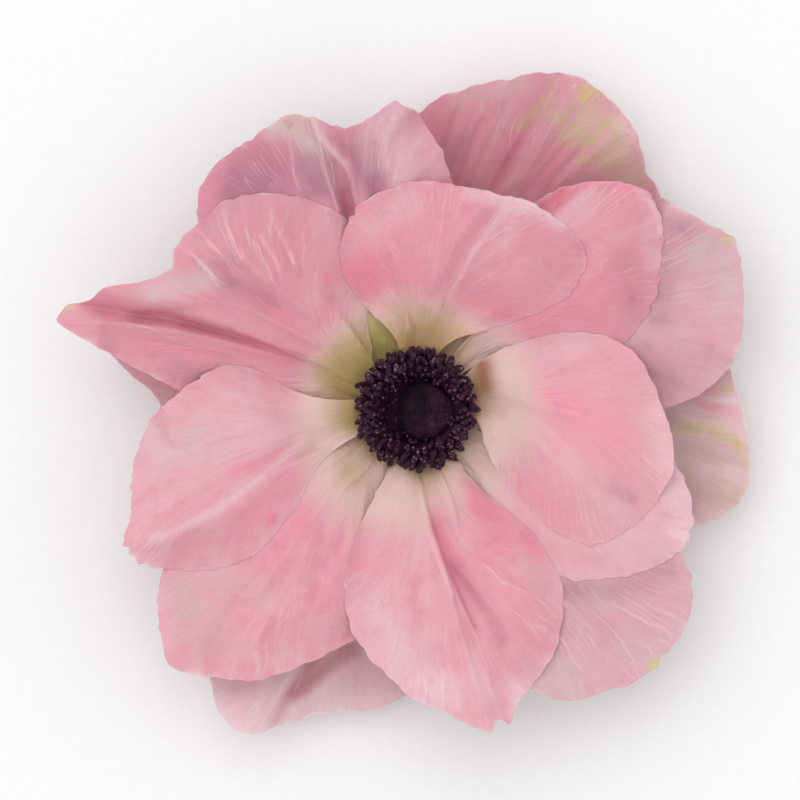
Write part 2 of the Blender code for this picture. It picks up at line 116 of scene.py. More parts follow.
# The tepals, uppermost first. The margin runs from the counterclockwise side, round the tip, to the clockwise
# side, and a vein ends at each of its points. A fold runs along the veins: the place on the margin where it
# ends, counted in points, its half width in points, its height in mm (below 0 is a valley), and the part of
# the vein's length where it begins. "tip" raises or lowers the tepal's end, and "sides" its two flanks, in mm.
TEPALS = [
    {
        "name": "tepal_top", "layer": 0, "claw": 90, "tip": -0.6, "sides": 0.6,
        "margin": [
            (-5.4, 11.9), (-7.6, 14.6), (-9.4, 17.6), (-10.1, 20.8), (-9.1, 23.8), (-6.6, 27), (-2.6, 29),
            (1, 29.5), (5, 29), (9.6, 28.1), (14.6, 26.7), (18.8, 24.3), (21.6, 21.5), (22.1, 18.3),
            (20, 15), (16.6, 12.9), (12.2, 11.3), (7.8, 9.8),
        ],
        "folds": [(8.6, 0.9, -1.3, 0.1), (10.2, 1, 1, 0.2), (5, 1.2, 0.6, 0.4)],
    },
    {
        "name": "tepal_right", "layer": 0, "claw": 18, "tip": -0.6, "sides": 0.6,
        "margin": [
            (7.4, 5.7), (10.6, 7.4), (14.8, 9), (18.4, 9.9), (21.6, 10.1), (25.4, 9.2), (28.2, 7.4),
            (30.4, 3.9), (32.4, -0.5), (33.8, -4.8), (33.4, -8.4), (31.7, -11.3), (29.6, -13.8),
            (26.4, -16.5), (22.9, -17.8), (19.8, -16.9), (16.2, -14.4), (12.6, -10.9), (10.4, -7.6),
            (8.8, -4.4),
        ],
        "folds": [(6, 1.2, 0.7, 0.4), (12.4, 0.8, -1.3, 0.55), (14.2, 1, 0.8, 0.4)],
    },
    {
        "name": "tepal_bottom", "layer": 0, "claw": -84, "tip": -1, "sides": 0.6,
        "margin": [
            (5.4, -6.8), (8.4, -10.3), (12.2, -13.3), (15.2, -16.2), (17.7, -19.9), (18.9, -23.4),
            (19, -27.8), (17.6, -32.4), (14.8, -36), (13.1, -38.5), (12.2, -41), (10.9, -40.4),
            (9.8, -41.9), (7, -41), (3.2, -38.9), (-0.5, -37), (-4.2, -34.3), (-7.4, -30.8), (-9.1, -26.2),
            (-9.3, -21.6), (-8.2, -17.1), (-6.4, -13.2), (-4.8, -9.9), (-3.7, -7.6),
        ],
        "folds": [(10.6, 0.8, -1.6, 0.1), (12.2, 0.9, 1.6, 0.1), (6.2, 1, 0.7, 0.4), (17, 1.2, 0.6, 0.4)],
    },
    {
        "name": "tepal_left", "layer": 0, "claw": 185, "tip": -0.6, "sides": 0.6,
        "margin": [
            (-15.1, -12.1), (-18.2, -16.1), (-21.8, -19.4), (-26, -20.6), (-31, -20.9), (-35.3, -20.4),
            (-37.9, -17.4), (-37.2, -13.8), (-36.7, -9.6), (-35.9, -5), (-33.9, -0.9), (-30.4, 2.5),
            (-27.4, 4.2), (-24.2, 5.7), (-20.6, 5.2),
        ],
        "folds": [(5.8, 1, 1.7, 0.25), (4, 0.9, -0.8, 0.4), (9.6, 1.2, 0.5, 0.5)],
    },
    {
        "name": "tepal_upper_right", "layer": 1, "claw": 58, "tip": 0.4, "sides": 0.9,
        "margin": [
            (2.8, 10.6), (3.6, 14.4), (5.6, 18.2), (8.6, 21.8), (12, 25), (16, 27), (20, 29.2),
            (23.6, 29.6), (26.4, 29.5), (30.2, 28.1), (32, 24.9), (31.9, 21), (31.5, 17.5), (31, 14.2),
            (28.8, 10.2), (24.8, 7.4), (19.2, 6.6), (13.6, 6.2),
        ],
        "folds": [(7, 0.8, 1.2, 0.35), (5.8, 0.8, -0.8, 0.4), (10.6, 1, 0.5, 0.4)],
    },
    {
        "name": "tepal_lower_right", "layer": 1, "claw": -31, "tip": 0, "sides": 0.9,
        "margin": [
            (13, -0.8), (18, 0.4), (23.2, 0.6), (27.8, -1), (31.6, -3.8), (34, -7.3), (35.5, -11.2),
            (35.9, -14.8), (34.9, -18), (31.8, -20.2), (28.2, -21.6), (24, -22.1), (19.4, -21.9),
            (15, -19.6), (11.4, -15.9), (8.4, -12), (6, -8.6),
        ],
        "folds": [(6.6, 1, 0.6, 0.5), (9.4, 0.9, -0.6, 0.5)],
    },
    {
        "name": "tepal_lower_left", "layer": 1, "claw": -142, "tip": 0.4, "sides": 0.9,
        "margin": [
            (-2.6, -9.4), (-2.8, -13.6), (-3, -18.4), (-3.8, -23.2), (-5.6, -27.4), (-8.6, -30.4),
            (-12.6, -32.3), (-16.9, -34), (-21.2, -35.2), (-25.6, -34.8), (-29.6, -34.3), (-32.1, -33),
            (-33, -29), (-33.2, -25), (-32.6, -20.6), (-29.6, -15.8), (-24.6, -11), (-18.6, -6.8),
            (-13, -3.8), (-9, -1.6),
        ],
        "folds": [(8.2, 1, 0.8, 0.4), (9.8, 0.8, -0.9, 0.4), (5.4, 1, -0.5, 0.5)],
    },
    {
        "name": "tepal_pointed", "layer": 1, "claw": 155, "tip": 0.5, "sides": 0.9,
        "margin": [
            (-9.6, -0.6), (-13.6, -1.2), (-18.8, -0.8), (-24.8, 0.4), (-30.4, 2.2), (-35.2, 4.8),
            (-39.6, 7.1), (-43.4, 9.2), (-46.5, 11.4), (-45, 13.5), (-42.4, 14), (-40.2, 15.7),
            (-35.6, 16.5), (-31.8, 18.2), (-30.9, 21.2), (-27.9, 24.5), (-23.7, 27.2), (-18.6, 28.1),
            (-13.4, 27.2), (-8.8, 24.6), (-6.4, 20.6), (-6.1, 15.6), (-6.3, 11.4), (-5.8, 7.8),
        ],
        "folds": [
            (9.4, 0.9, -2.6, 0.05), (11.4, 1, 1.6, 0.1), (6.6, 0.9, -1.2, 0.25), (7.8, 0.7, 1.2, 0.3),
            (16, 1.2, 0.7, 0.4),
        ],
    },
    {
        "name": "tepal_two_lobed", "layer": 2, "claw": 120, "tip": 0.5, "sides": 0.9,
        "margin": [
            (-28, 21.4), (-28.5, 27.3), (-25.6, 31.9), (-20.6, 35.7), (-15.8, 38.5), (-12.4, 37.5),
            (-9.2, 36.4), (-6.2, 37.7), (-2.8, 39.8), (0.4, 38.2), (2.6, 34.8), (4.4, 30), (4.8, 24.6),
            (3.6, 18.6),
        ],
        "folds": [(4.4, 0.8, 1.3, 0.3), (5.8, 0.8, -2, 0.25), (7, 0.7, 1.5, 0.3), (9.2, 0.9, -0.7, 0.5)],
    },
    {
        "name": "tepal_right_back", "layer": 2, "claw": 38, "tip": 0, "sides": 0.9,
        "margin": [
            (7.6, 10.8), (12.6, 16.2), (18.6, 21.4), (25.2, 25.4), (31.4, 27.5), (34.6, 25.7), (38, 24.2),
            (41.2, 22.2), (42.2, 18.4), (42.6, 13.6), (42, 9), (40.2, 5.1), (36.9, 2), (32.6, 0.2),
            (26.8, -1.2), (20, -1.2), (13.6, 0.2),
        ],
        "folds": [(7.2, 0.9, 0.9, 0.5), (9, 0.8, -0.8, 0.5), (11, 0.8, 0.6, 0.5)],
    },
    {
        "name": "tepal_lower_right_outer", "layer": 2, "claw": -54, "tip": 0, "sides": 0.9,
        "margin": [
            (12.4, -4.6), (19, -7.4), (25.8, -10.6), (31.4, -14.4), (34.6, -18.6), (35.6, -23.4),
            (35, -28.4), (32.2, -32.6), (28.6, -35.6), (24.8, -36.6), (21.2, -37.7), (17.2, -37.2),
            (13.6, -35.2), (10.4, -30.6), (7.8, -24.4), (5.8, -17.4),
        ],
        "folds": [(7.6, 0.8, -1.3, 0.3), (6.4, 0.8, 0.9, 0.4), (9.6, 0.9, 0.6, 0.5)],
    },
    {
        "name": "tepal_bottom_left_back", "layer": 3, "claw": -112, "tip": 0, "sides": 0.5,
        "margin": [
            (1.4, -13), (2.8, -20), (3.6, -27.2), (2.6, -33.4), (-1.2, -37.2), (-6.4, -39.3),
            (-11.6, -39.8), (-16.8, -40.8), (-21.4, -42.6), (-24.8, -40.4), (-26.6, -36.6), (-27, -31.2),
            (-24, -24.4), (-18.4, -17.6), (-11.8, -11.6),
        ],
        "folds": [(8.4, 0.7, 1.9, 0.4), (7.2, 0.8, -1.4, 0.4), (5.4, 0.8, -0.8, 0.4), (6.3, 0.7, 0.6, 0.4)],
    },
    {
        "name": "tepal_left_back", "layer": 3, "claw": 177, "tip": 0, "sides": 0.5,
        "margin": [
            (-12.6, -5.4), (-19.6, -8), (-26.4, -8.4), (-31.4, -4.4), (-34, 1.6), (-37.4, 4.7),
            (-40.3, 7.6), (-39.4, 11.2), (-34, 13), (-27, 12.8), (-19.6, 10.6), (-12.8, 6.8),
        ],
        "folds": [(6, 0.8, 0.6, 0.5)],
    },
    {
        "name": "tepal_top_back", "layer": 3, "claw": 76, "tip": 0, "sides": 0.5,
        "margin": [
            (-2, 13.6), (-4, 20.6), (-4.6, 28), (-3, 35.2), (1.4, 39.8), (6.8, 41.8), (12.4, 43.1),
            (18, 43.6), (22.8, 42.2), (26.6, 38.9), (29, 34.6), (30.2, 30.9), (32, 28), (30.4, 22.4),
            (24.2, 16.2), (15.8, 11.6),
        ],
        "folds": [(6.2, 0.9, 0.7, 0.4), (8.4, 0.8, -0.7, 0.4), (9.8, 0.8, 0.6, 0.5)],
    },
    {
        "name": "tepal_far_right_back", "layer": 3, "claw": 0, "tip": 0, "sides": 0.5,
        "margin": [
            (12.8, 5.6), (20.4, 8.4), (28.4, 9.8), (35.6, 9.2), (40.4, 6.4), (42.2, 1.4), (43.3, -3.6),
            (43.4, -8.8), (41.6, -12.7), (37.2, -14.9), (30.4, -15.4), (22.4, -13), (14.6, -8.4),
        ],
        "folds": [(6, 0.8, 0.6, 0.5), (7.6, 0.7, -0.6, 0.5)],
    },
]

# What each tepal's own surface adds. "cream" and "olive" are the radii where the pale base ring and the
# darker area inside it end, "hue" runs from olive (0) to brown (1), and "tone" gives the kinds of colour that
# tint the whole tepal. "creases" are raised (or, below 0, sunken) lines: height in mm, half width in mm, and
# the corners of their path in plan. Where a half width is a pair, it counts to the left and to the right of
# the path. "patches" are areas of colour, by kind: strength, half width, path. Those of the kinds cream and
# olive push these rings out or, below 0, in. "nicks" are small notches in the margin: place in plan, depth,
# half width.
# Some kinds are painted light and shade: the light kind is painted highlights and lightening where a tepal
# lies in shade; the pale kind is also painted light on ridges and shaded tepals; the mauve kind is also
# painted shade in creases and beside other tepals' margins; the deep pink kind is also painted shade along
# folds.
DETAILS = {
    "tepal_top": {
        "cream": 13.8, "olive": 13.2, "hue": 0.75, "tone": {"blush": 0.05},
        "creases": [
            (-0.55, 1.2, (3, 14.5), (6, 19.8), (9.2, 25)),
            (0.7, (0.4, 1.3), (4, 14), (7.4, 20.6), (11.6, 25.8)),
            (0.35, 0.8, (-2, 13), (-2.6, 18), (-3.6, 24)), (-0.3, 1.2, (-5.6, 16), (-7.4, 21)),
            (-0.35, 1.6, (12, 19), (17, 22)),
        ],
        "patches": {
            "crinkle": [
                (0.5, 2.6, (8, 20), (12.6, 25)), (0.45, 2.2, (1, 22), (4, 27.6)),
                (0.35, 1.6, (-2, 14), (-3.4, 20)),
            ],
            "mauve_and_shade": [
                (0.3, (1, 1.8), (3.2, 15.5), (5.8, 20.5), (9.4, 25.6)), (0.22, 3, (16, 20.5), (18.6, 20)),
            ],
            "blush": [
                (0.75, 2.4, (-6.6, 15.8), (-8, 17.6)), (0.6, 1.6, (6, 14), (11.6, 12.2)),
                (0.3, 3, (-2, 17.5), (-5, 19)),
            ],
            "pale": [
                (0.8, 1.2, (7.5, 28), (13.8, 26.4), (18.8, 24.2)),
                (0.7, 0.5, (4.4, 14.8), (7.7, 21.1), (11.4, 26)), (0.45, 2.4, (-6, 23.5), (-1, 27)),
                (0.35, 2, (8.6, 18.6), (12, 23.4)),
            ],
            "light": [(0.55, 0.35, (9, 28.3), (14.2, 27), (19, 24.7))],
        },
    },
    "tepal_right": {
        # Its light tone is painted light, brightening the whole tepal
        "cream": 15.4, "olive": 10.4, "hue": 1, "tone": {"light": 0.22, "blush": 0.15},
        "creases": [
            (-0.35, 1.4, (25, -9.4), (28.6, -11.6)), (0.3, 0.9, (14, 1), (22, -1), (30, -4.2)),
            (0.25, 0.8, (13, -3), (20, -8), (25, -13.5)),
        ],
        "patches": {
            "crinkle": [(0.6, 2.4, (30, -3), (31.6, -9)), (0.5, 2.2, (20, -12), (25, -15.6))],
            "blush": [
                (0.6, 2.4, (15.5, 1.8), (21.5, -1.4), (26, -4)),
                (0.65, 1.7, (11.4, -6.6), (14.6, -10.8), (19, -14.6)),
                (0.4, 1, (16.4, 2.4), (20.6, 0.8), (25, 0.2)),
            ],
            "light": [(0.3, 2.2, (31, -1), (32.4, -7))],
            "pale": [(0.45, 2.2, (13, 6.4), (21, 8.4)), (0.35, 1.6, (19, -7), (26, -13))],
            "mauve_and_shade": [(0.6, 1, (25.6, -10.4), (28, -11.6))],
            "rust": [(0.95, 1.5, (8.8, 3), (8.6, 5.6))],
            "cream": [(-0.8, 3, (12, -8), (18, -15))],
        },
    },
    "tepal_bottom": {
        "cream": 15.8, "olive": 9.4, "hue": 0.5, "tone": {"pale": 0.36},
        "nicks": [(11.1, -41.3, 1.6, 0.85)],
        "creases": [

            (
                0.75, (0.35, 1.2),
                (0.6, -9.6), (1.4, -13.4), (3, -18.6), (5.4, -24.4), (7.8, -29.6), (10.4, -38),
            ),
            (-0.6, (1.3, 0.5), (1.3, -11), (2.4, -15), (4, -19.4), (7, -25.6)),
            (0.4, (0.3, 0.8), (5.4, -20.4), (8.6, -24), (12.6, -29)),
            (0.35, (0.3, 0.8), (6, -18.4), (9.6, -20.6), (14, -23.6)),
            (0.25, 0.6, (-2.4, -12), (-2.8, -20), (-2, -29)),
            (-0.3, 0.8, (-1, -12), (-0.8, -19), (0.8, -28)), (0.3, 0.8, (8, -21), (12, -26), (14.6, -31)),
        ],
        "patches": {
            "crinkle": [
                (0.7, 2.4, (-5.6, -23), (-3, -31), (3, -37)), (0.5, 2.4, (10, -22), (15, -28)),
                (0.5, 1.6, (4, -28), (8, -37)),
            ],
            "blush": [
                (0.5, 1.3, (1.8, -12.6), (3.8, -18), (6.6, -22.6)), (0.55, 2, (7.6, -11.6), (11.4, -14.4)),
                (0.7, 1.3, (14.4, -16.6), (15.8, -18.6)), (0.55, 1.7, (-6.6, -15), (-8, -20)),
                (0.35, 3.5, (10, -20), (13, -29)), (0.35, 2.6, (5, -11), (10, -17)),
            ],
            "mauve_and_shade": [(0.4, 1, (5.2, -20.4), (9, -26), (11, -30))],
            "deep_pink_and_fold_shade": [
                (0.55, (0.45, 0.22), (0.9, -11.4), (1.7, -13.8), (3.3, -18.8), (5.7, -24.4), (7.6, -28.4)),
                (0.28, 0.9, (0.8, -10.6), (1.8, -15.4)),
            ],
            "pale": [
                (0.6, 3, (-5, -27), (-1, -33), (3, -36.5)), (0.5, 1.2, (7.6, -32), (9.4, -37)),
                (0.5, 1.2, (13.4, -36), (12.8, -39)),
            ],
            "light": [(0.4, 0.25, (1, -14.6), (2.6, -19), (4.6, -24))],
            "cream": [(-1.6, (2.4, 1.2), (1.6, -9), (3, -16)), (-2.6, 2.6, (6, -7.4), (9, -12))],
        },
    },
    "tepal_left": {
        "cream": 15.8, "olive": 10.6, "hue": 0.2, "tone": {"pale": 0.38},
        "creases": [
            (0.6, 1.1, (-14.4, -4.6), (-19.5, -10), (-24, -13.3), (-29.6, -15.7), (-36.6, -17.2)),
            (-0.45, 1.4, (-16, -8.2), (-21, -14), (-27, -17.6), (-33, -19.2)),
            (0.25, 0.8, (-16, -1), (-24, -3), (-33, -6.6)),
        ],
        "patches": {
            "crinkle": [(0.4, 2.4, (-27, -14), (-35, -17.4))],
            "blush": [
                (0.32, 1.9, (-15.6, -8.4), (-19.6, -13), (-23, -16)),
                (0.15, 3, (-15.6, -10.4), (-19, -15.6), (-26, -19)), (0.6, 1.4, (-15.8, 2), (-19.6, 4.6)),
                (0.65, 0.55, (-18.4, -13.8), (-19, -14.9)),
                (0.45, 0.6, (-15.2, -3.8), (-19.6, -6.6), (-23.8, -8.3)),
            ],
            "mauve_and_shade": [(0.15, 1.8, (-23, -15.8), (-30, -18.2), (-35, -18.8))],
            "pale": [
                (0.35, 3.6, (-22, -2), (-31, -5)),
                (0.5, 0.6, (-15, -4.2), (-19.5, -8.4), (-25.9, -13.1), (-34.2, -17.2)),
            ],
            "ash": [(0.35, 3, (-27.7, -3.6), (-34, -5))],
            # The first olive patch, below 0, is painted light: paler cream where this part lies in shade
            "olive": [(-1, 1.6, (-7.4, -4.4), (-9.4, -5.6)), (0.6, 1.6, (-9.5, 1.2), (-12, 0.8))],
        },
    },
    "tepal_upper_right": {
        "cream": 15, "olive": 9.4, "hue": 0.8, "tone": {"mauve_and_shade": 0.1},
        "creases": [
            (0.9, (2.4, 0.5), (23, 29.8), (20.4, 27.5), (17, 24.6)), (-0.5, 1, (17, 26), (20, 28)),
            (0.35, 0.8, (14, 9.6), (21, 15), (27, 21)), (-0.3, 1, (18, 16), (23, 22), (25, 27)),
        ],
        "patches": {
            "crinkle": [(0.5, 2.2, (20, 26), (26, 27.6))],
            "blush": [
                (0.7, 0.9, (23.4, 29.2), (28.4, 28.8)), (0.35, 2.2, (14.8, 12.6), (22, 15.6), (27, 15)),
                (0.6, (0.3, 2.4), (23, 29.8), (20.4, 27.5), (17, 24.6)), (0.3, 1.8, (14, 11), (24, 11.4)),
            ],
            "pale": [
                (0.45, 1.6, (30.6, 26), (31.2, 19)),
                (0.5, (3.2, 0.3), (23, 29.8), (20.4, 27.5), (17, 24.6)), (0.12, 2.6, (22, 25), (28, 22)),
            ],
            "light": [(0.45, 0.25, (28.6, 28.6), (30.8, 26.4), (31.7, 23))],
            "mauve_and_shade": [(0.3, 2, (27, 19), (29, 12))],
            "olive": [(0.9, 1.3, (4.2, 7.6), (7.4, 9.9))],
        },
    },
    "tepal_lower_right": {
        # Its pale and light tones are partly painted light, lightening the shade it lies in
        "cream": 15.2, "olive": 8.2, "hue": 0.35, "tone": {"pale": 0.45, "light": 0.22},
        "nicks": [(35.9, -16, 0.5, 0.7), (35.2, -18.6, 0.35, 0.5)],
        "creases": [(0.35, 0.8, (20, -17), (25, -19.6), (29, -21.4)), (0.3, 0.7, (30, -12), (34.4, -14))],
        "patches": {
            "crinkle": [(0.5, 2, (33, -10), (34, -16))],
            "mauve_and_shade": [(0.2, 1.3, (13, -14.4), (18, -19.4))],
            "blush": [(0.3, 1.6, (12, -11), (18, -18)), (0.3, 1.8, (20, -19.6), (26, -20))],
            "pale": [(0.45, 1.8, (33.6, -9), (34.6, -16))],
        },
    },
    "tepal_lower_left": {
        "cream": 16.8, "olive": 12.2, "hue": 0.15, "tone": {"pale": 0.26},
        "creases": [
            (0.4, 0.9, (-12, -12), (-18, -20), (-24, -29)),
            (-0.4, 1, (-9, -16), (-12.6, -23), (-15.6, -30.6)),
            (0.3, 0.8, (-6, -17), (-7.6, -24), (-9.6, -29)),
        ],
        "patches": {
            "crinkle": [(0.4, 2.6, (-14, -26), (-18, -31))],
            "blush": [(0.3, 2.4, (-14.4, -14.6), (-19.6, -18.6)), (0.25, 2, (-8.4, -18), (-12.4, -24.6))],
            "mauve_and_shade": [(0.25, 1.6, (-7.6, -24), (-10.4, -29.6)), (0.22, 1.8, (-31.6, -21.8), (-29.4, -26.6))],
            "ash": [
                (0.35, 3.6, (-27, -26), (-30, -31)), (0.4, 2, (-31, -22.6), (-30, -26)),
                (0.3, 2.2, (-26, -22), (-20, -23.6)),
            ],
            # The first olive patch, below 0, is painted light: paler cream in the shade of the left tepal
            "olive": [(-1.5, 2, (-7.4, -4.8), (-5.5, -8)), (0.5, 1.6, (-8.6, -8.8), (-10.4, -10.4))],
            "deep_pink_and_fold_shade": [
                (0.22, 0.9, (-16.2, -19.8), (-20.6, -25.2)), (0.18, 0.8, (-12.3, -15.8), (-14.2, -22.5)),
            ],
            "pale": [(0.9, 0.22, (-20.9, -31.6), (-20.4, -34))],
        },
    },
    "tepal_pointed": {
        "cream": 15.2, "olive": 13.2, "hue": 0.25, "tone": {"pale": 0.16, "mauve_and_shade": 0.16},
        "creases": [
            (-0.6, (0.35, 1.3), (-14.4, 7.1), (-17.9, 8.2), (-25.3, 10.2), (-32.6, 12)),
            (0.5, 0.7, (-33, 10.9), (-25, 8.7), (-17, 6.6)),
            (-0.4, 0.5, (-34.6, 8.9), (-28.1, 7.4), (-24.2, 6.4)),
            (0.55, 0.6, (-34.6, 14.3), (-24.2, 13.9), (-18.3, 11.4), (-13.2, 8.5)),
            (0.55, 0.7, (-26.8, 19.4), (-22.2, 19), (-18.3, 15.9), (-13, 11.7)),
            (-0.45, 1.3, (-25, 16.4), (-20.6, 15), (-16, 11.8)),
            (0.5, 0.45, (-28.7, 19.7), (-26.8, 17.8), (-25.5, 15.5)),
            (0.4, 0.45, (-25.5, 25), (-23.5, 21), (-22, 19.2)),
            (0.45, 0.4, (-22.2, 22.8), (-20, 19.4), (-18.3, 16.6)),
            (0.45, 0.4, (-20.9, 25.6), (-17.5, 21.7), (-15.4, 17.8)),
            (0.4, 0.4, (-18, 25.9), (-16.1, 21), (-15.2, 17.8)),
            (0.3, 0.4, (-23.2, 24), (-21.2, 21), (-19.6, 17.8)),
        ],
        "patches": {
            "crinkle": [
                (0.95, 3.2, (-24, 22), (-18, 22)), (0.8, 2.2, (-28.6, 18), (-25.6, 16)),
                (0.45, 2.2, (-38, 12), (-30, 8)), (0.4, 2.4, (-13, 22), (-11, 25)),
            ],
            "deep_pink_and_fold_shade": [(0.6, (0.9, 0.25), (-14.6, 6.9), (-17.9, 7.9), (-25.3, 9.9), (-30, 11))],
            "ash": [(0.5, 1.6, (-34, 15.4), (-28, 17.4))],
            "blush": [
                (0.6, 1.4, (-22, 8.4), (-16.4, 6.6)), (0.45, 1.6, (-21, 14.6), (-17, 12.2)),
                (0.3, 1.8, (-24, 6.4), (-36, 8.6)), (0.85, 0.45, (-11.4, 16.4), (-11.5, 17.3)),
                (0.28, 2.6, (-21, 22.6), (-18, 21)),
            ],
            "pale": [(0.75, 1.6, (-34, 15), (-27, 16.8))],
            "light": [
                (0.4, 0.22, (-24.6, 22.8), (-22.6, 19.6)), (0.4, 0.2, (-20.2, 22.6), (-17.6, 18.2)),
                (0.4, 0.2, (-18.6, 24.6), (-15.8, 19)), (0.5, 0.2, (-28, 19), (-25.6, 16)),
            ],
            "mauve_and_shade": [
                (0.45, 1.6, (-24.6, 16.6), (-19.6, 14.2)), (0.35, 2, (-24, 4), (-31, 4.6)),
                (0.25, 1.6, (-30, 17.6), (-24.6, 19.4)),
            ],
            "lime": [(0.5, 0.7, (-45.4, 13), (-44.6, 13.4))],
            "olive": [(0.35, 2.4, (-8.6, 9.4), (-12.4, 4.6))],
            # The first cream patch is painted light, paler where the tepal lies in shade beside the left tepal
            "cream": [(0.5, 1.6, (-9.5, 2), (-13, 2.2)), (-0.5, 2.4, (-10.4, 11.4), (-15.4, 5.6))],
        },
    },
    "tepal_two_lobed": {
        "cream": 14.2, "olive": 13, "hue": -0.1, "tone": {"mauve_and_shade": 0.35},
        "creases": [

            (
                0.7, (0.9, 0.35),
                (-13.8, 38.4), (-12.7, 35.5), (-11.2, 33.7), (-9.4, 31.9), (-8.3, 29.5), (-7.8, 26.4),
            ),
            (0.5, 0.45, (-12.7, 35.5), (-12.2, 32.9), (-11.2, 29), (-10.1, 25.9)),
            (-0.7, 0.8, (-11.2, 31.8), (-9.7, 28.6), (-8.9, 25.6)),
            (0.5, 0.5, (-16.6, 36.8), (-15.9, 30.6), (-15.1, 27.5)), (0.35, 0.7, (-4, 36.6), (-3.6, 31)),
            (-0.3, 0.8, (-20, 34), (-19, 29.6)),
        ],
        "patches": {
            "lime": [(0.8, 1.6, (-4.4, 8.6), (-5.6, 11.4)), (0.8, 0.4, (-15.6, 38.2), (-13.2, 38.2))],
            "crinkle": [
                (0.6, 1.8, (-14, 37), (-11, 30)), (0.5, 2.2, (-6, 35), (-3, 31)),
                (0.35, 2.6, (-22, 30), (-17, 34)),
            ],
            "deep_pink_and_fold_shade": [
                (0.75, 1, (-11, 31.6), (-9.7, 28.4), (-9, 25.4)),
                (0.55, 2, (-22.6, 31.6), (-20.4, 33.4), (-18.4, 31.8)),
                (0.3, 1.3, (-12.9, 33.4), (-12.2, 30.4)),
            ],
            "light": [
                (0.55, (0.7, 0.25), (-13.6, 38), (-12.7, 35.5), (-11.2, 33.7), (-9.4, 31.9)),
                (0.4, 0.22, (-9.4, 31.9), (-8.3, 29.5), (-7.8, 26.9)),
                (0.35, 0.15, (-12.7, 35.5), (-12.2, 32.9), (-11.2, 29), (-10.1, 25.9)),
                (0.28, 0.16, (-16.4, 35.6), (-15.9, 30.6), (-15.1, 28.5)),
                (0.22, 2.6, (-3.6, 36.6), (-1.6, 31)), (0.25, 1.8, (0.6, 34.6), (3, 30.6)),
            ],
            "ash": [
                (0.7, 1.6, (-18.6, 36.8), (-15.4, 36.8), (-13.8, 34.6)),
                (0.15, 1.6, (-14.6, 34.6), (-13.6, 31)), (0.35, 1.2, (-11.6, 32.6), (-10.6, 29.6)),
                (0.35, 1.4, (-7.6, 34.4), (-6, 31.6)),
            ],
            "sand": [(0.3, 1.5, (-19, 36.6), (-15.4, 36.6))],
            "mauve_and_shade": [
                (0.32, 3.2, (-23.6, 30), (-13, 32)), (0.6, 1.6, (-8.2, 33.4), (-6.4, 31.2), (-5, 28.8)),
                (0.75, 2.2, (-22.6, 28.6), (-19, 28.8)), (0.6, 1.5, (-13.8, 33), (-12.2, 28.6)),
            ],
            "pale": [(0.75, 2.8, (-3.6, 36.6), (-1.6, 31)), (0.75, 1.4, (-2.6, 39), (-4.6, 36.2))],
            "blush": [(0.5, 1.5, (-27.6, 26.8), (-25.6, 29.4)), (0.35, 1.6, (1.2, 33.6), (3.2, 30.4))],
            "rust": [(0.45, 0.35, (-16.8, 37.2), (-16.4, 36.8))],
        },
    },
    "tepal_right_back": {
        "cream": 13, "olive": 11, "hue": 0.6, "tone": {"mauve_and_shade": 0.16, "pale": 0.35, "ash": 0.22},
        "nicks": [(40.4, 22.8, 0.6, 0.6), (43, 13, 0.25, 0.5)],
        "creases": [
            (0.35, 0.8, (30, 18), (36, 21), (39, 22.6)), (0.3, 0.7, (33, 12), (41, 12.6)),
            (-0.35, 1, (32, 14.6), (40.6, 17)),
        ],
        "patches": {
            "crinkle": [(0.6, 3, (34, 20), (40, 14))],
            "ash": [(0.5, 2.2, (37.4, 20.8), (38.8, 19.2), (41, 15.4))],
            "mauve_and_shade": [
                (0.7, 2.2, (32.6, 23.6), (36.4, 22.6)), (0.45, 2, (32, 20), (31.6, 12)),
                (0.3, 1.6, (29.6, 7.6), (33.6, 3.4)),
            ],
            "blush": [(0.25, 2.2, (33.6, 7), (38.6, 8))],
            "lime": [(0.55, 0.6, (40.2, 22.4), (41, 21.6))],
        },
    },
    "tepal_lower_right_outer": {
        "cream": 13, "olive": 10, "hue": 0.4, "tone": {"mauve_and_shade": 0.18, "pale": 0.45, "ash": 0.22},
        "nicks": [(32.4, -32.4, 0.6, 0.8), (26, -36, 0.3, 0.5)],
        "creases": [
            (0.5, 0.7, (18.4, -24.4), (21.6, -27.4), (24.2, -29.6)),
            (-0.45, 0.9, (19.6, -23.6), (24, -28), (27.6, -32.6)), (0.3, 0.7, (28, -23), (32.6, -27)),
        ],
        "patches": {
            "crinkle": [(0.8, 6, (20, -30), (29, -29))],
            "mauve_and_shade": [
                (0.5, 1.6, (19.6, -23.6), (26, -23.6), (32.6, -21)), (0.25, 1.2, (14, -25.6), (19.6, -29)),
            ],
            "ash": [(0.45, 2, (15, -33.6), (20, -36)), (0.22, 3, (24, -26), (30, -30))],
            "blush": [(0.3, 2.2, (25, -28), (31, -27))],
            "lime": [(0.8, 0.7, (30.6, -33.6), (31.4, -32.8))],
        },
    },
    "tepal_bottom_left_back": {
        # Its pale and light tones are painted light, lightening the shade it lies in far below the others
        "cream": 13, "olive": 10, "hue": 0.4, "tone": {"pale": 0.85, "ash": 0.1, "light": 0.55},
        "nicks": [(-10.1, -39.9, 0.4, 0.6), (-14.3, -40.4, 0.4, 0.6)],
        "creases": [
            (0.7, 0.7, (-17.2, -34.4), (-18.3, -38.2), (-19.5, -41.2)),
            (-0.7, 0.7, (-13.6, -32.8), (-17, -37.8), (-18.2, -40.6)),
            (-0.6, 0.7, (-8.5, -30.6), (-12.4, -34.2), (-16, -36.9)),
            (0.5, 0.7, (-8, -32.6), (-12.6, -36.2), (-16, -38.8)),
        ],
        "patches": {
            "crinkle": [(0.7, 2.4, (-17, -36), (-21, -39))],
            "deep_pink_and_fold_shade": [
                (0.7, 0.7, (-13, -32.4), (-17, -37.6), (-18.6, -40.6)),
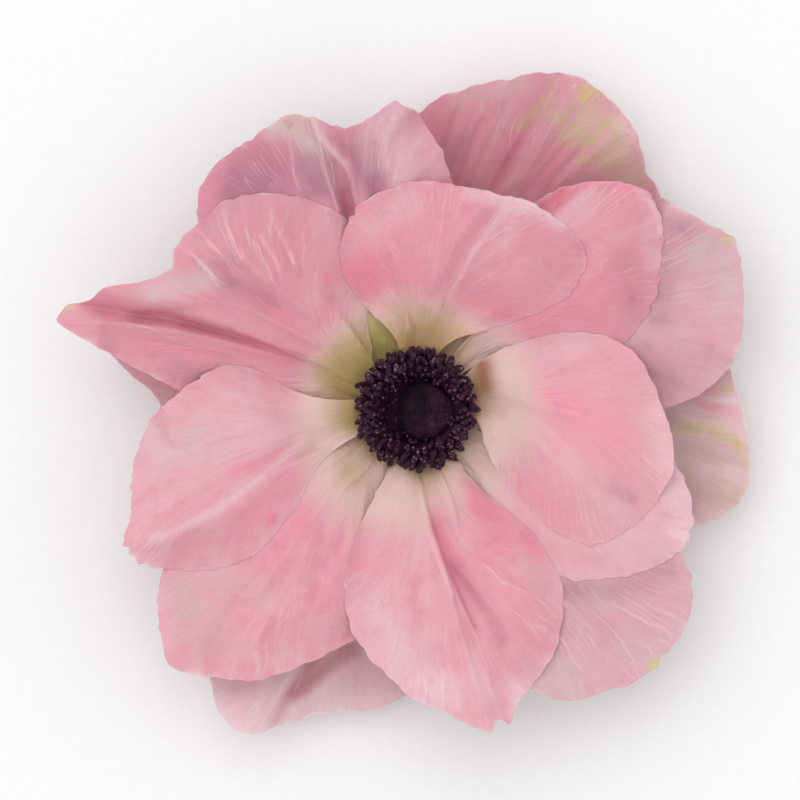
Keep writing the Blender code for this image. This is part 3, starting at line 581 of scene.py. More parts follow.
                (0.7, 0.8, (-8.6, -30.8), (-13, -34.6), (-16, -37)),
            ],
            "blush": [(0.45, 1.6, (-20.6, -37), (-22.4, -39.6))],
            "ash": [(0.45, 1.4, (-9, -37.6), (-14, -39.2))],
            "light": [(0.35, 1.6, (-18, -34), (-20.6, -38.4))],
        },
    },
    "tepal_left_back": {
        # Its tones are painted light: paler and pinker to lighten the shade of the tepals over it
        "cream": 13, "olive": 10, "hue": 0.3, "tone": {"pale": 0.5, "light": 0.55, "blush": 0.35},
        "creases": [],
        "patches": {
            "blush": [(0.4, 1.6, (-34.6, 2.6), (-38.6, 6))],
        },
    },
    "tepal_top_back": {
        "cream": 13, "olive": 10, "hue": 0.4, "tone": {"mauve_and_shade": 0.15, "blush": 0.2},
        "creases": [
            (0.45, 0.7, (7, 30), (9, 36), (11.6, 42)), (-0.45, 0.9, (3.4, 31), (4.6, 36), (6.6, 41)),
            (0.4, 0.7, (14, 30), (17.6, 36), (20.6, 41.6)), (-0.4, 0.9, (11.4, 30), (14.6, 36), (17, 42)),
            (0.35, 0.8, (18.6, 29.4), (23, 33), (27, 37)),
        ],
        "patches": {
            "crinkle": [(0.5, 3, (10, 36), (20, 36))],
            "blush": [(0.45, 1, (13.8, 35.8), (10, 29)), (0.45, 0.9, (19.6, 34.8), (16.2, 29))],
            "mauve_and_shade": [(0.4, 1, (6.6, 35.8), (3.2, 29.5))],
            "pale": [
                (0.55, 0.6, (12.4, 40), (7.5, 29.5)), (0.55, 0.5, (17.2, 38.2), (12.4, 29.5)),
                (0.45, 0.5, (8.6, 39.6), (5.4, 33)),
            ],
            "lime": [
                (0.6, 0.9, (18.4, 42.8), (17.2, 40)), (0.85, 1.6, (22.6, 40.8), (21.4, 39.2), (19.8, 37.6)),
                (0.35, 0.9, (15.6, 38.9), (13.8, 37)), (0.45, 1.6, (25, 36.4), (21.6, 33.4)),
                (0.25, 3, (21, 36), (26, 31.6)),
            ],
            "ash": [(0.3, 3.2, (19.6, 38.7), (25, 36), (28, 30.6)), (0.35, 1.6, (6, 40.6), (14, 42.4))],
            "sand": [(0.4, 3, (20.6, 37.6), (25, 35), (27.4, 30.6))],
            "light": [(0.25, 2.6, (22, 38), (26, 34)), (0.5, 0.8, (26.2, 37.2), (27.8, 35.6))],
            "deep_pink_and_fold_shade": [
                (0.4, (0.25, 0.5), (13.4, 27.7), (18.1, 33.4), (20.4, 36.8)),
                (0.35, (0.25, 0.5), (16, 27.7), (19.6, 32.4), (21.6, 34.6)),
                (0.35, (0.25, 0.6), (9.4, 28.6), (13.1, 34.9)),
                (0.3, (0.25, 0.5), (5.1, 29.9), (8.3, 38.1)), (0.3, (0.25, 0.5), (2.8, 33.2), (5.2, 39.3)),
            ],
        },
    },
    "tepal_far_right_back": {
        # Its pale and light tones and its broadest light patch are painted light, lightening the shade of the
        # tepals over it
        "cream": 13, "olive": 10, "hue": 0.4, "tone": {"pale": 0.85, "ash": 0.1, "light": 0.5, "sand": 0.1},
        "creases": [(0.35, 0.7, (34, -1.6), (38.6, -2.6), (42.6, -4)), (-0.35, 0.8, (34, -5), (42.4, -8))],
        "patches": {
            "blush": [
                (1.3, 1.1, (35, 3), (38.8, 1.6)), (1, 0.7, (38, 0.2), (41.6, -0.6)),
                (1, 0.6, (34.8, 1.2), (38.6, 0.4)), (0.6, 0.5, (38.6, -4.4), (41.6, -5.4)),
            ],
            "deep_pink_and_fold_shade": [(0.3, 0.3, (35.2, 1), (38.6, 0.3)), (0.35, 0.4, (35.6, -0.6), (40, -1.4))],
            "light": [
                (0.8, 3, (33.6, 2.4), (34.4, -7)), (0.5, 0.7, (34.2, -6.8), (42, -8.2)),
                (0.5, 0.4, (38, 1.4), (42, 1)),
            ],
            "sand": [(0.42, 2.6, (34.6, -9.6), (42, -11.6)), (0.24, 2.2, (35, -5.6), (41, -6.4))],
            "pale": [(0.8, 0.7, (36.6, 0.8), (40.6, 2.6))],
            "lime": [
                (0.6, 1.2, (34.6, -2), (38.4, -2.8), (41.6, -3.2)), (0.75, 0.7, (42.2, -4.6), (42.8, -7.2)),
                (0.55, 0.8, (36.4, 3.8), (40.8, 2.8)),
            ],
            "mauve_and_shade": [(0.3, 1.2, (35.4, -11.4), (41, -12))],
            "crinkle": [(0.6, 3, (36, -4), (41, -8))],
        },
    },
}

# Rings of anthers: radius, height of the anther's middle, how many, tilt from upright in degrees, and size.
# Those that would stand in the dome are left out.
ANTHER_RINGS = (
    (2.6, 2.9, 11, -20, 0.54),
    (3.1, 3.2, 13, -10, 0.56),
    (3.55, 3.6, 16, -2, 0.58),
    (4.0, 4.2, 20, 8, 0.62),
    (4.45, 4.8, 24, 22, 0.66),
    (4.9, 5.2, 27, 32, 0.72),
    (5.4, 5.4, 29, 42, 0.80),
    (5.9, 5.3, 31, 52, 0.88),
    (6.4, 4.9, 33, 64, 0.96),
    (6.85, 4.3, 34, 76, 1.02),
    (7.2, 3.5, 34, 86, 1.08),
    (7.4, 2.7, 34, 94, 1.12),
)
ANTHER_LENGTH = 1.62
ANTHER_WIDTH = 0.85
ANTHER_LOBES = ((5, 0.16, 1.0), (9, 0.14, 2.0))    # waves of the outer rings: how many, height, phase
LOBES_START = 0.7        # where they begin, as a part of the outermost radius
PLACE_SCATTER = 0.32     # how far an anther strays along its ring, in places
RING_SCATTER = 0.30      # and in or out, in mm
HEIGHT_SCATTER = 0.35    # up or down
LEAN_SCATTER = 30        # in its tilt, in degrees
WAY_SCATTER = 0.9        # and in the way it leans, in radians
FOOT_RADIUS = 3.9        # where the filament of an anther at radius 4 stands
FOOT_SPREAD = 0.12       # and how much further out for each mm that the anther is
FOOT_HEIGHT = 1.0
FILAMENT_RADIUS = 0.14
FILAMENT_BED = (        # the dark mass of filaments between the anthers: radius, height
    (0.8, 1.0), (6.4, 1.2), (7.1, 1.8), (7.0, 2.6), (6.5, 3.4), (5.9, 4.1), (5.3, 4.3), (4.8, 4.0),
    (4.3, 3.2), (3.5, 2.6), (2.6, 2.35), (0.8, 2.3),
)
DOME_RADIUS = 3.7
DOME_HEIGHT = 3.0
DOME_BASE = 2.5
DOME_SHIFT = (1.25, -0.25)
PAINTED_LIGHT_WAY = (0.8, -0.6)   # the side of the dome whose beads are painted lighter, as painted light
PISTILS = 880
PISTIL_SIZE = 0.17

# Kinds of colour that a tone or a patch may name. Crinkle is no colour: it tells how much the wrinkles show.
KINDS = ("blush", "deep_pink_and_fold_shade", "pale", "light", "mauve_and_shade", "ash", "sand", "lime", "rust", "crinkle")

# The studio
CAMERA_AIM = (-0.00072, 0.00060)
CAMERA_LEVEL = 0.010     # height at which the picture is as wide as the field
CAMERA_FIELD = 0.104
CAMERA_DISTANCE = 1.6
SENSOR = 36
FLOOR_HALF = 1.5
WORLD_LIGHT = 0.89
LAMP_PLACE = (-0.40, 0.50, 1.35)
LAMP_SIZE = 1.6
LAMP_POWER = 6.0


def srgb(red, green, blue):
    """Linear colour from the 0 to 255 values seen on a screen."""
    channels = []
    for value in (red, green, blue):
        part = value / 255
        channels.append(part / 12.92 if part < 0.04045 else ((part + 0.055) / 1.055) ** 2.4)
    return (*channels, 1.0)


# Colours of the tepals
PINK = srgb(224, 153, 168)
# A paler tint, also painted light on ridges and on tepals that lie in shade
PALE = srgb(229, 187, 198)
# Painted light: highlights on margins and wrinkle crests, and lightening where a tepal lies in shade
PAINTED_LIGHT = srgb(244, 214, 220)
BLUSH = srgb(234, 138, 157)
# Deep pink streaks, also painted shade along folds
DEEP_PINK_AND_FOLD_SHADE = srgb(190, 106, 124)
# A mauve tint, also painted shade in creases and beside the margins of tepals that lie over it
MAUVE_AND_SHADE = srgb(180, 120, 140)
ASH = srgb(204, 182, 184)
SAND = srgb(200, 176, 154)
CREAM = srgb(227, 194, 186)
OLIVE = srgb(174, 154, 82)
BROWN = srgb(182, 144, 102)
LIME = srgb(200, 194, 112)
RUST = srgb(156, 106, 76)
UNDER = srgb(214, 174, 184)


def polar(radius, degrees):
    """Point at a radius and an angle round the receptacle's axis, in plan."""
    angle = math.radians(degrees)
    return Vector((radius * math.cos(angle), radius * math.sin(angle)))


def ease(start, value):
    """0 up to start, then rising smoothly to 1 at value 1."""
    t = min(max((value - start) / (1 - start), 0.0), 1.0)
    return t * t * (3 - 2 * t)


def in_frame(points):
    """Points in mm from the claws' height on the receptacle's axis, as metres in the part's frame."""
    return (np.asarray(points) + (CENTRE_X, CENTRE_Y, GROUND)) * MM


def tepal_height(tepal, place, along, distance):
    """Height of a tepal's upper face: place counts margin points, along runs from claw (0) to margin (1)."""
    claw_height, slope, curve = LAYERS[tepal["layer"]]
    run = distance - CLAW_RADIUS
    height = claw_height + slope * run + curve * run * run
    height += tepal["tip"] * along ** 3
    side = 2 * place / (len(tepal["margin"]) - 1) - 1
    height += tepal["sides"] * side * side * along
    wave = math.sin(math.tau * place / WAVE_POINTS + tepal["claw"])
    height += WAVE_HEIGHT * wave * along ** 3
    for middle, half_width, rise, start in tepal["folds"]:
        height += rise * math.exp(-((place - middle) / half_width) ** 2) * ease(start, along)
    return max(height, SOLID_THICKNESS - GROUND)


def tepal_grid(tepal):
    """Points of a tepal's upper face in mm: one list per vein, each from the claw out to the margin."""
    claw = polar(CLAW_RADIUS, tepal["claw"])
    across = Vector((-claw.y, claw.x)).normalized()
    ends = [Vector(point) for point in tepal["margin"]]
    middle = sum(ends, Vector((0, 0))) / len(ends)
    heading = ((middle - claw).normalized() + claw.normalized()).normalized()
    last = len(ends) - 1
    veins = []
    for place, end in enumerate(ends):
        start = claw + across * CLAW_HALF_WIDTH * (1 - 2 * place / last)
        spread = abs(heading.cross((end - start).normalized()))
        bend = start + heading * (end - start).length * (VEIN_BEND + VEIN_FAN * spread)
        vein = []
        for row in range(ROWS + 1):
            t = row / ROWS
            point = start * (1 - t) ** 2 + bend * 2 * t * (1 - t) + end * t * t
            vein.append(Vector((point.x, point.y, tepal_height(tepal, place, t, point.length))))
        veins.append(vein)
    return veins


def highest_allowed(point, placed, reach):
    """How high a tepal may lie at a point under the solids placed so far, seen a little way to each side."""
    limit = math.inf
    for dx, dy in ((0, 0), (reach, 0), (-reach, 0), (0, reach), (0, -reach)):
        below = Vector(in_frame((point.x + dx, point.y + dy, -100.0)))
        for tree in placed:
            hit = tree.ray_cast(below, Vector((0, 0, 1)))[0]
            if hit is not None:
                limit = min(limit, hit.z / MM - GROUND - CLEARANCE)
    return limit


def neighbours(field):
    """Sum of the four values round each value of a sheet."""
    padded = np.pad(field, 1, mode="edge")
    return padded[:-2, 1:-1] + padded[2:, 1:-1] + padded[1:-1, :-2] + padded[1:-1, 2:]


def press_under(veins, placed):
    """Press a tepal down where it would touch those above it, and let the dent fade out round that place."""
    limits = np.array([[highest_allowed(point, placed, PRESS_REACH) for point in vein] for vein in veins])
    wanted = np.array([[point.z for point in vein] for vein in veins])
    dent = np.zeros_like(wanted)
    for _ in range(PRESS_PASSES):
        spread = np.maximum(np.maximum(neighbours(dent) / 4, wanted - limits), 0.0)
        spread[:, 0] = dent[:, 0]
        dent = spread
    return wanted - dent


def spline_weights(places, count, softness=None):
    """Weights that turn count values in a row into one value at each place, counted from 0, on a curve.
    Softness is 1 where the curve runs smoothly through a value, and near 0 where it turns sharply."""
    softness = np.ones(count) if softness is None else softness
    slopes = np.zeros((count, count))
    for i in range(count):
        before, after = max(i - 1, 0), min(i + 1, count - 1)
        slopes[i, after] += softness[i] / (after - before)
        slopes[i, before] -= softness[i] / (after - before)
    first = np.minimum(np.asarray(places).astype(int), count - 2)
    t = (places - first)[:, None]
    values = np.eye(count)
    return (
        (1 - 3 * t ** 2 + 2 * t ** 3) * values[first] + (3 * t ** 2 - 2 * t ** 3) * values[first + 1]
        + (t - 2 * t ** 2 + t ** 3) * slopes[first] + (t ** 3 - t ** 2) * slopes[first + 1]
    )


def corner_softness(rim):
    """Softness of each point of a margin: full where it turns by up to 35 degrees, low from 62 degrees on."""
    softness = np.ones(len(rim))
    for i in range(1, len(rim) - 1):
        before, after = rim[i] - rim[i - 1], rim[i + 1] - rim[i]
        cosine = before @ after / (np.linalg.norm(before) * np.linalg.norm(after))
        turn = math.degrees(math.acos(min(max(cosine, -1), 1)))
        softness[i] = min(max(1 - (turn - 35) / 30, 0.1), 1)
    return softness


def rough_sheet(rng, across, along, shape):
    """Smooth random heights over a sheet of that shape, from across by along random values."""
    left = spline_weights(np.linspace(0, across - 1, shape[0]), across)
    right = spline_weights(np.linspace(0, along - 1, shape[1]), along)
    return left @ rng.normal(size=(across, along)) @ right.T


def margin_noise(rng, count, columns):
    """Smooth random values along a margin, from count random values."""
    return rough_sheet(rng, count, 2, (columns, 2))[:, 0]


def near_path(points, path, half_width):
    """1 on a path in plan, falling smoothly to 0 to each side. Two half widths are its left and its right."""
    left, right = half_width if isinstance(half_width, tuple) else (half_width, half_width)
    path = [np.array(corner, float) for corner in path]
    nearest = np.full(points.shape[:-1], np.inf)
    width = np.full(points.shape[:-1], float(left))
    for start, end in zip(path, path[1:]):
        run = end - start
        part = np.clip(((points - start) @ run) / (run @ run), 0, 1)
        gap = points - start - part[..., None] * run
        distance = np.hypot(gap[..., 0], gap[..., 1])
        on_left = run[0] * gap[..., 1] - run[1] * gap[..., 0] > 0
        closer = distance < nearest
        width[closer] = np.where(on_left, left, right)[closer]
        nearest[closer] = distance[closer]
    return np.exp(-(nearest / width) ** 2)


def fine_surface(tepal, veins, rng):
    """The tepal's upper face in mm, columns by rows of points, with waves, creases, wrinkles and teeth."""
    detail = DETAILS[tepal["name"]]
    coarse = np.array([[tuple(point) for point in vein] for vein in veins])
    count = len(coarse)
    dense = np.linspace(0, count - 1, 40 * count)
    softness = corner_softness(coarse[:, -1, :2])
    rim = spline_weights(dense, count, softness) @ coarse[:, -1, :2]
    steps = np.hypot(*np.diff(rim, axis=0).T)
    run = np.concatenate([[0], np.cumsum(steps)])
    fine_columns, fine_rows = FINE_GRIDS[tepal["layer"]]
    places = np.interp(np.linspace(0, run[-1], fine_columns + 1), run, dense)
    along = np.append(np.linspace(0, 1, fine_rows)[:-1], (0.997, 1.0))
    over_veins = spline_weights(places, count, softness)
    surface = np.einsum("ci,ijk,rj->crk", over_veins, coarse, spline_weights(along * ROWS, ROWS + 1))
    shape = surface.shape[:2]

    teeth = margin_noise(rng, fine_columns // 2, shape[0]) * RAGGED
    teeth += margin_noise(rng, BROAD_TEETH, shape[0]) * BROAD_RAGGED
    for x, y, depth, half_width in detail.get("nicks", ()):
        away = np.hypot(surface[:, -1, 0] - x, surface[:, -1, 1] - y)
        teeth -= depth * np.clip(1 - away / half_width, 0, 1)
    outward = surface[:, -1, :2] - surface[:, -3, :2]
    outward /= np.maximum(np.hypot(outward[:, 0], outward[:, 1]), 1e-6)[:, None]
    surface[:, :, :2] += (outward * teeth[:, None])[:, None, :] * (along ** 10)[None, :, None]

    patchy = 0.5 + 0.5 * np.tanh(rough_sheet(rng, *RELIEF_PATCHES, shape) * PATCH_CONTRAST)
    relief = np.zeros(shape)
    for across, outwards, rise, in_patches in RELIEF:
        relief += rough_sheet(rng, across, outwards, shape) * rise * (patchy if in_patches else 1)
    surface[:, :, 2] += relief * along[None, :] ** 1.3
    frill = margin_noise(rng, FRILLS, shape[0]) * FRILL
    surface[:, :, 2] += frill[:, None] * (along ** 9)[None, :]
    for height, half_width, *path in detail["creases"]:
        surface[:, :, 2] += height * near_path(surface[:, :, :2], path, half_width)
    if tepal["layer"] == 3:
        surface[:, :, 2] -= SETTLE * np.sin(math.pi * along)[None, :]
    surface[:, :, 2] = np.maximum(surface[:, :, 2], BLADE + FLOOR_GAP - GROUND)
    return surface


def sheet_faces(grid):
    """Four-cornered faces between the points that a grid numbers."""
    return np.stack([grid[:-1, :-1], grid[1:, :-1], grid[1:, 1:], grid[:-1, 1:]], axis=-1).reshape(-1, 4)


def search_tree(surface):
    """Search tree of a fine surface, in mm."""
    grid = np.arange(surface.shape[0] * surface.shape[1]).reshape(surface.shape[:2])
    return BVHTree.FromPolygons(surface.reshape(-1, 3).tolist(), sheet_faces(grid).tolist())


def height_under(surface, placed):
    """Height of the highest tepal placed so far under each point in plan, or minus infinity over none."""
    down = Vector((0, 0, -1))
    found = np.full(surface.shape[:2], -np.inf)
    for column, points in enumerate(surface):
        for row, point in enumerate(points):
            start = Vector((point[0], point[1], 40.0))
            for tree in placed:
                hit = tree.ray_cast(start, down)[0]
                if hit is not None:
                    found[column, row] = max(found[column, row], hit.z)
    return found


def smoothed(field, passes):
    """A field over a sheet with its steps smoothed out."""
    for _ in range(passes):
        field = (neighbours(field) + 4 * field) / 8
    return field


def rim_distance(surface):
    """How far each point of a fine surface is from the margin and the two side edges, in plan."""
    plan = surface[:, :, :2]
    rim = np.concatenate([plan[0, 4:], plan[:, -1], plan[-1, 4:]])
    return np.array([np.hypot(*(column[:, None] - rim).T).min(axis=0) for column in plan])


def blade_thickness(shape):
    """Thickness of a tepal over its surface: thin at the margin, with ribs along some of the veins."""
    side = np.linspace(-1, 1, shape[0])[:, None]
    along = np.linspace(0, 1, shape[1])[None, :]
    rib = np.maximum(np.cos(math.tau * np.arange(shape[0]) / RIB_COLUMNS), 0)[:, None] ** 4
    full = (1 - along ** 3) * (1 - side ** 8)
    return BLADE_EDGE + (BLADE - BLADE_EDGE) * full + BLADE_RIB * rib * (1 - along ** 2) * (1 - side ** 8)


def lay_on(surface, placed):
    """Lay a tepal on those under it: its margin comes to rest on them, and it sinks into none of them."""
    under = height_under(surface, placed)
    lying = np.isfinite(under)
    least = np.where(lying, under, -100.0) + blade_thickness(surface.shape) + BLADE_GAP
    near = 1 - np.clip(rim_distance(surface) / HUG_WIDTH, 0, 1)
    reach = np.hypot(surface[:, :, 0], surface[:, :, 1])
    most = MOST_HUG * np.clip((reach - HUG_START) / (HUG_FULL - HUG_START), 0, 1)
    room = np.where(lying, np.clip(surface[:, :, 2] - least, 0, most), 0)
    surface[:, :, 2] -= smoothed(room * near * near * (3 - 2 * near), 8)
    surface[:, :, 2] = np.maximum(surface[:, :, 2], least)


def underside(surface):
    """The lower face under a fine surface."""
    normals = np.cross(np.gradient(surface, axis=0), np.gradient(surface, axis=1))
    normals /= np.maximum(np.linalg.norm(normals, axis=2, keepdims=True), 1e-9)
    return surface - normals * blade_thickness(surface.shape)[..., None]


def masks(tepal, surface):
    """Each kind of colour's strength over a fine surface."""
    detail = DETAILS[tepal["name"]]
    plan = surface[:, :, :2]
    found = {kind: np.full(plan.shape[:2], detail["tone"].get(kind, 0.0)) for kind in KINDS}
    reach = np.hypot(plan[:, :, 0], plan[:, :, 1])
    side = np.abs(np.linspace(-1, 1, plan.shape[0]))[:, None]
    found["cream"] = (detail["cream"] - reach) / RING_SOFTNESS
    found["olive"] = (detail["olive"] - OLIVE_SAG * side ** 2 - reach) / RING_SOFTNESS
    for kind, patches in detail["patches"].items():
        for strength, half_width, *path in patches:
            found[kind] = found[kind] + strength * near_path(plan, path, half_width)
    found["hue"] = np.full(plan.shape[:2], float(detail["hue"]))
    found["edge"] = 1 - np.clip(rim_distance(surface) / EDGE_WIDTH, 0, 1)
    return found


def add_object(name, data):
    """An object of the scene with these data."""
    obj = bpy.data.objects.new(name, data)
    bpy.context.scene.collection.objects.link(obj)
    return obj


def add_mesh(name, points, faces, material):
    """A smooth mesh object from points in mm and lists of corners."""
    mesh = bpy.data.meshes.new(name)
    mesh.from_pydata(in_frame(points).tolist(), [], faces)
    mesh.shade_smooth()
    mesh.materials.append(material)
    return add_object(name, mesh)


def add_values(obj, name, values):
    """A named number at each point of a mesh, for the materials."""
    obj.data.attributes.new(name, "FLOAT", "POINT").data.foreach_set("value", values)


def add_tepal(index, tepal, surface, material):
    """A thin blade under the tepal's fine surface, with its masks and maps."""
    lower = underside(surface)
    columns, rows = surface.shape[:2]
    size = columns * rows
    grid = np.arange(size).reshape(columns, rows)
    upper = sheet_faces(grid)
    loop = np.concatenate([grid[:-1, 0], grid[-1, :-1], grid[:0:-1, -1], grid[0, :0:-1]])
    following = np.roll(loop, -1)
    rim = np.stack([following, loop, loop + size, following + size], axis=-1)
    faces = np.concatenate([upper, upper[:, ::-1] + size, rim])
    points = np.concatenate([surface.reshape(-1, 3), lower.reshape(-1, 3)])
    obj = add_mesh("bloom_" + tepal["name"], points, faces.tolist(), material)

    for kind, values in masks(tepal, surface).items():
        add_values(obj, kind, np.tile(values.ravel(), 2))
    add_values(obj, "under", np.repeat([0.0, 1.0], size))

    corners = np.empty(len(obj.data.loops), int)
    obj.data.loops.foreach_get("vertex_index", corners)
    side, along = np.meshgrid(np.linspace(0, 1, columns), np.linspace(0, 1, rows), indexing="ij")
    veined = np.stack([side.ravel() + NOISE_STEP * index, along.ravel()], axis=-1)
    # In the map for baking the upper face fills the left half and the underside the right half
    low = points[:, :2].min(axis=0)
    span = (points[:, :2].max(axis=0) - low).max()
    plan = (points[:, :2] - low) / span
    bake = np.stack([0.01 + 0.48 * plan[:, 0], 0.01 + 0.98 * plan[:, 1]], axis=-1)
    bake[size:, 0] += 0.5
    on_rim = np.arange(len(corners)) >= 8 * len(upper)
    bake_corners = np.where(on_rim, corners % size, corners)
    for name, values in (("Tepal", veined[corners % size]), ("OFBake", bake[bake_corners])):
        obj.data.uv_layers.new(name=name).data.foreach_set("uv", values.astype(np.float32).ravel())
    return obj


def join_shapes(shapes):
    """One list of points and one of faces from several closed shapes."""
    points = []
    faces = []
    count = 0
    for shape_points, shape_faces in shapes:
        points.append(shape_points)
        faces.extend([tuple(corner + count for corner in face) for face in shape_faces])
        count += len(shape_points)
    return np.concatenate(points), faces


def wall_faces(columns, rings, first=0):
    """Four-cornered faces of a round wall. Its points are numbered from first, ring after ring."""
    faces = []
    for ring in range(rings - 1):
        low = first + ring * columns
        for k in range(columns):
            after = (k + 1) % columns
            faces.append((low + k, low + after, low + columns + after, low + columns + k))
    return faces


def lobed_grain(segments=14, rings=9):
    """An anther: an oblong grain of unit length along Z and unit width, grooved down its front and back."""
    points = [(0.0, 0.0, -0.5)]
    for ring in range(1, rings):
        t = math.sin((ring / rings - 0.5) * math.pi)
        girth = 0.5 * (1 - abs(t) ** 3.0) ** 0.5
        for k in range(segments):
            angle = math.tau * k / segments
            front = math.exp(-(1 - math.sin(angle)) / 0.10)
            back = math.exp(-(1 + math.sin(angle)) / 0.08)
            reach = girth * (1 - 0.36 * front - 0.22 * back)
            points.append((reach * math.cos(angle), 0.86 * reach * math.sin(angle), 0.5 * t))
    points.append((0.0, 0.0, 0.5))
    top = len(points) - 1
    faces = wall_faces(segments, rings - 1, 1)
    for k in range(segments):
        after = (k + 1) % segments
        faces.append((0, 1 + after, 1 + k))
        faces.append((top, top - segments + k, top - segments + after))
    return np.array(points), faces


def tube(path, radii, sides=6):
    """A closed round tube along a path of points."""
    path = np.asarray(path, float)
    run = np.gradient(path, axis=0)
    run /= np.linalg.norm(run, axis=1, keepdims=True)
    points = []
    for point, way, radius in zip(path, run, radii):
        first = np.cross(way, (0.3, 0.9, 0.1))
        first /= np.linalg.norm(first)
        second = np.cross(way, first)
        for k in range(sides):
            angle = math.tau * k / sides
            points.append(point + radius * (math.cos(angle) * first + math.sin(angle) * second))
    ends = [tuple(range(sides - 1, -1, -1)), tuple(range((len(path) - 1) * sides, len(path) * sides))]
    return np.array(points), ends + wall_faces(sides, len(path))


def turned_shape(profile, columns, rng, roughness):
    """A closed rough ring turned from (radius, height) points in mm that run anticlockwise in section."""
    points = []
    for k in range(columns):
        angle = math.tau * k / columns
        for radius, height in profile:
            reach = radius + rng.uniform(-roughness, roughness)
            level = height + rng.uniform(-roughness, roughness)
            points.append((reach * math.cos(angle), reach * math.sin(angle), level))
    faces = []
    count = len(profile)
    for k in range(columns):
        after = (k + 1) % columns
        for i in range(count):
            j = (i + 1) % count
            faces.append((k * count + i, after * count + i, after * count + j, k * count + j))
    return np.array(points), faces


def turn_matrix(tilt, azimuth, twist):
    """Rotation that twists a grain about itself, tilts it outwards, then turns it round the bloom's axis."""
    turn = Matrix.Rotation(azimuth, 3, "Z") @ Matrix.Rotation(tilt, 3, "Y") @ Matrix.Rotation(twist, 3, "Z")
    return np.array(turn)


def add_stamens(material_anthers, material_filaments):
    """The ring of stamens: an anther on a curved filament, over two hundred times."""
    rng = np.random.default_rng(7)
    grain_points, grain_faces = lobed_grain()
    anthers = []
    filaments = []
    for radius, height, count, tilt, size in ANTHER_RINGS:
        for k in range(count):
            azimuth = math.tau * (k + rng.uniform(-PLACE_SCATTER, PLACE_SCATTER)) / count + radius
            out = radius + rng.uniform(-RING_SCATTER, RING_SCATTER)
            lobes = sum(rise * math.sin(waves * azimuth + phase) for waves, rise, phase in ANTHER_LOBES)
            out += lobes * ease(LOBES_START, out / ANTHER_RINGS[-1][0])
            level = height + rng.uniform(-HEIGHT_SCATTER, HEIGHT_SCATTER)
            middle = np.array((out * math.cos(azimuth), out * math.sin(azimuth), level))
            if math.dist(middle[:2], DOME_SHIFT) < DOME_RADIUS - 0.1:
                continue
            lean = math.radians(tilt + rng.uniform(-LEAN_SCATTER, LEAN_SCATTER))
            way = azimuth + rng.uniform(-WAY_SCATTER, WAY_SCATTER)
            turn = turn_matrix(lean, way, rng.uniform(0, math.tau))
            length = ANTHER_LENGTH * size * rng.uniform(0.86, 1.12)
            width = ANTHER_WIDTH * size * rng.uniform(0.86, 1.10)
            shaped = grain_points * (width, width, length)
            anthers.append((shaped @ turn.T + middle, grain_faces))
            foot_radius = FOOT_RADIUS + FOOT_SPREAD * (out - 4.0)
            foot = np.array((foot_radius * math.cos(azimuth), foot_radius * math.sin(azimuth), FOOT_HEIGHT))
            tip = middle + turn @ np.array((0.0, 0.0, -0.42 * length))
            bend = np.array((*0.55 * (tip + foot)[:2], 0.35 * tip[2] + 0.65 * foot[2]))
            steps = np.linspace(0, 1, 6)[:, None]
            path = foot * (1 - steps) ** 2 + bend * 2 * steps * (1 - steps) + tip * steps ** 2
            filaments.append(tube(path, FILAMENT_RADIUS * np.linspace(1.2, 0.75, 6)))
    points, faces = join_shapes(anthers)
    ring = add_mesh("bloom_anthers", points, faces, material_anthers)
    filaments.append(turned_shape(FILAMENT_BED, 90, rng, 0.10))
    points, faces = join_shapes(filaments)
    stalks = add_mesh("bloom_filaments", points, faces, material_filaments)
    return ring, stalks


def add_dome(material):
    """The dome of pistils: a blunt, slightly lumpy dark cushion, set with small beads on a spiral."""
    rng = np.random.default_rng(11)
    middle = np.array((DOME_SHIFT[0], DOME_SHIFT[1], DOME_BASE))

    def surface_point(turn, rise):
        lump = 1 + 0.07 * math.cos(3 * turn) + 0.03 * math.sin(5 * turn + 2.0)
        reach = DOME_RADIUS * math.sin(0.5 * math.pi * (1 - rise)) * lump
        wave = 0.16 * math.sin(2.1 * turn + 3 * rise) * rise * (1 - rise)
        height = DOME_HEIGHT * (1 - (1 - rise) ** 2.6) + wave
        return middle + (reach * math.cos(turn), reach * math.sin(turn), height)

    columns, rings = 48, 22
    turns = [math.tau * k / columns for k in range(columns)]
    points = [surface_point(turn, ring / rings) for ring in range(rings) for turn in turns]
    points.append(surface_point(0.0, 1.0))
    faces = [tuple(range(columns - 1, -1, -1))] + wall_faces(columns, rings)
    low = (rings - 1) * columns
    faces += [(low + k, low + (k + 1) % columns, rings * columns) for k in range(columns)]
    shapes = [(np.array(points), faces)]

    bead = bmesh.new()
    bmesh.ops.create_icosphere(bead, subdivisions=1, radius=1.0)
    bead_points = np.array([tuple(vertex.co) for vertex in bead.verts])
    bead_faces = [tuple(vertex.index for vertex in face.verts) for face in bead.faces]
    bead.free()
    for k in range(PISTILS):
        reach = math.sqrt((k + 0.5) / PISTILS)
        place = surface_point(k * math.pi * (3 - math.sqrt(5)), 1 - math.asin(reach) / (0.5 * math.pi))
        grow = PISTIL_SIZE * rng.uniform(0.75, 1.2)
        place[2] += rng.uniform(-0.02, 0.10)
        shapes.append((bead_points * (grow, grow, 1.4 * grow) + place, bead_faces))
    # How far up its bead each point lies: the material paints the gaps near black as shade and the tops
    # lighter
    lifted = np.concatenate([np.zeros(len(points)), np.tile(np.clip(bead_points[:, 2], 0, 1), PISTILS)])
    points, faces = join_shapes(shapes)
    dome = add_mesh("bloom_pistil_dome", points, faces, material)
    add_values(dome, "lifted", lifted)
    # Painted light: the beads are lighter towards one side of the dome
    painted_lit_side = 0.5 + (points - middle)[:, :2] @ PAINTED_LIGHT_WAY / (1.7 * DOME_RADIUS)
    add_values(dome, "painted_lit_side", np.clip(painted_lit_side, 0, 1))
    return dome


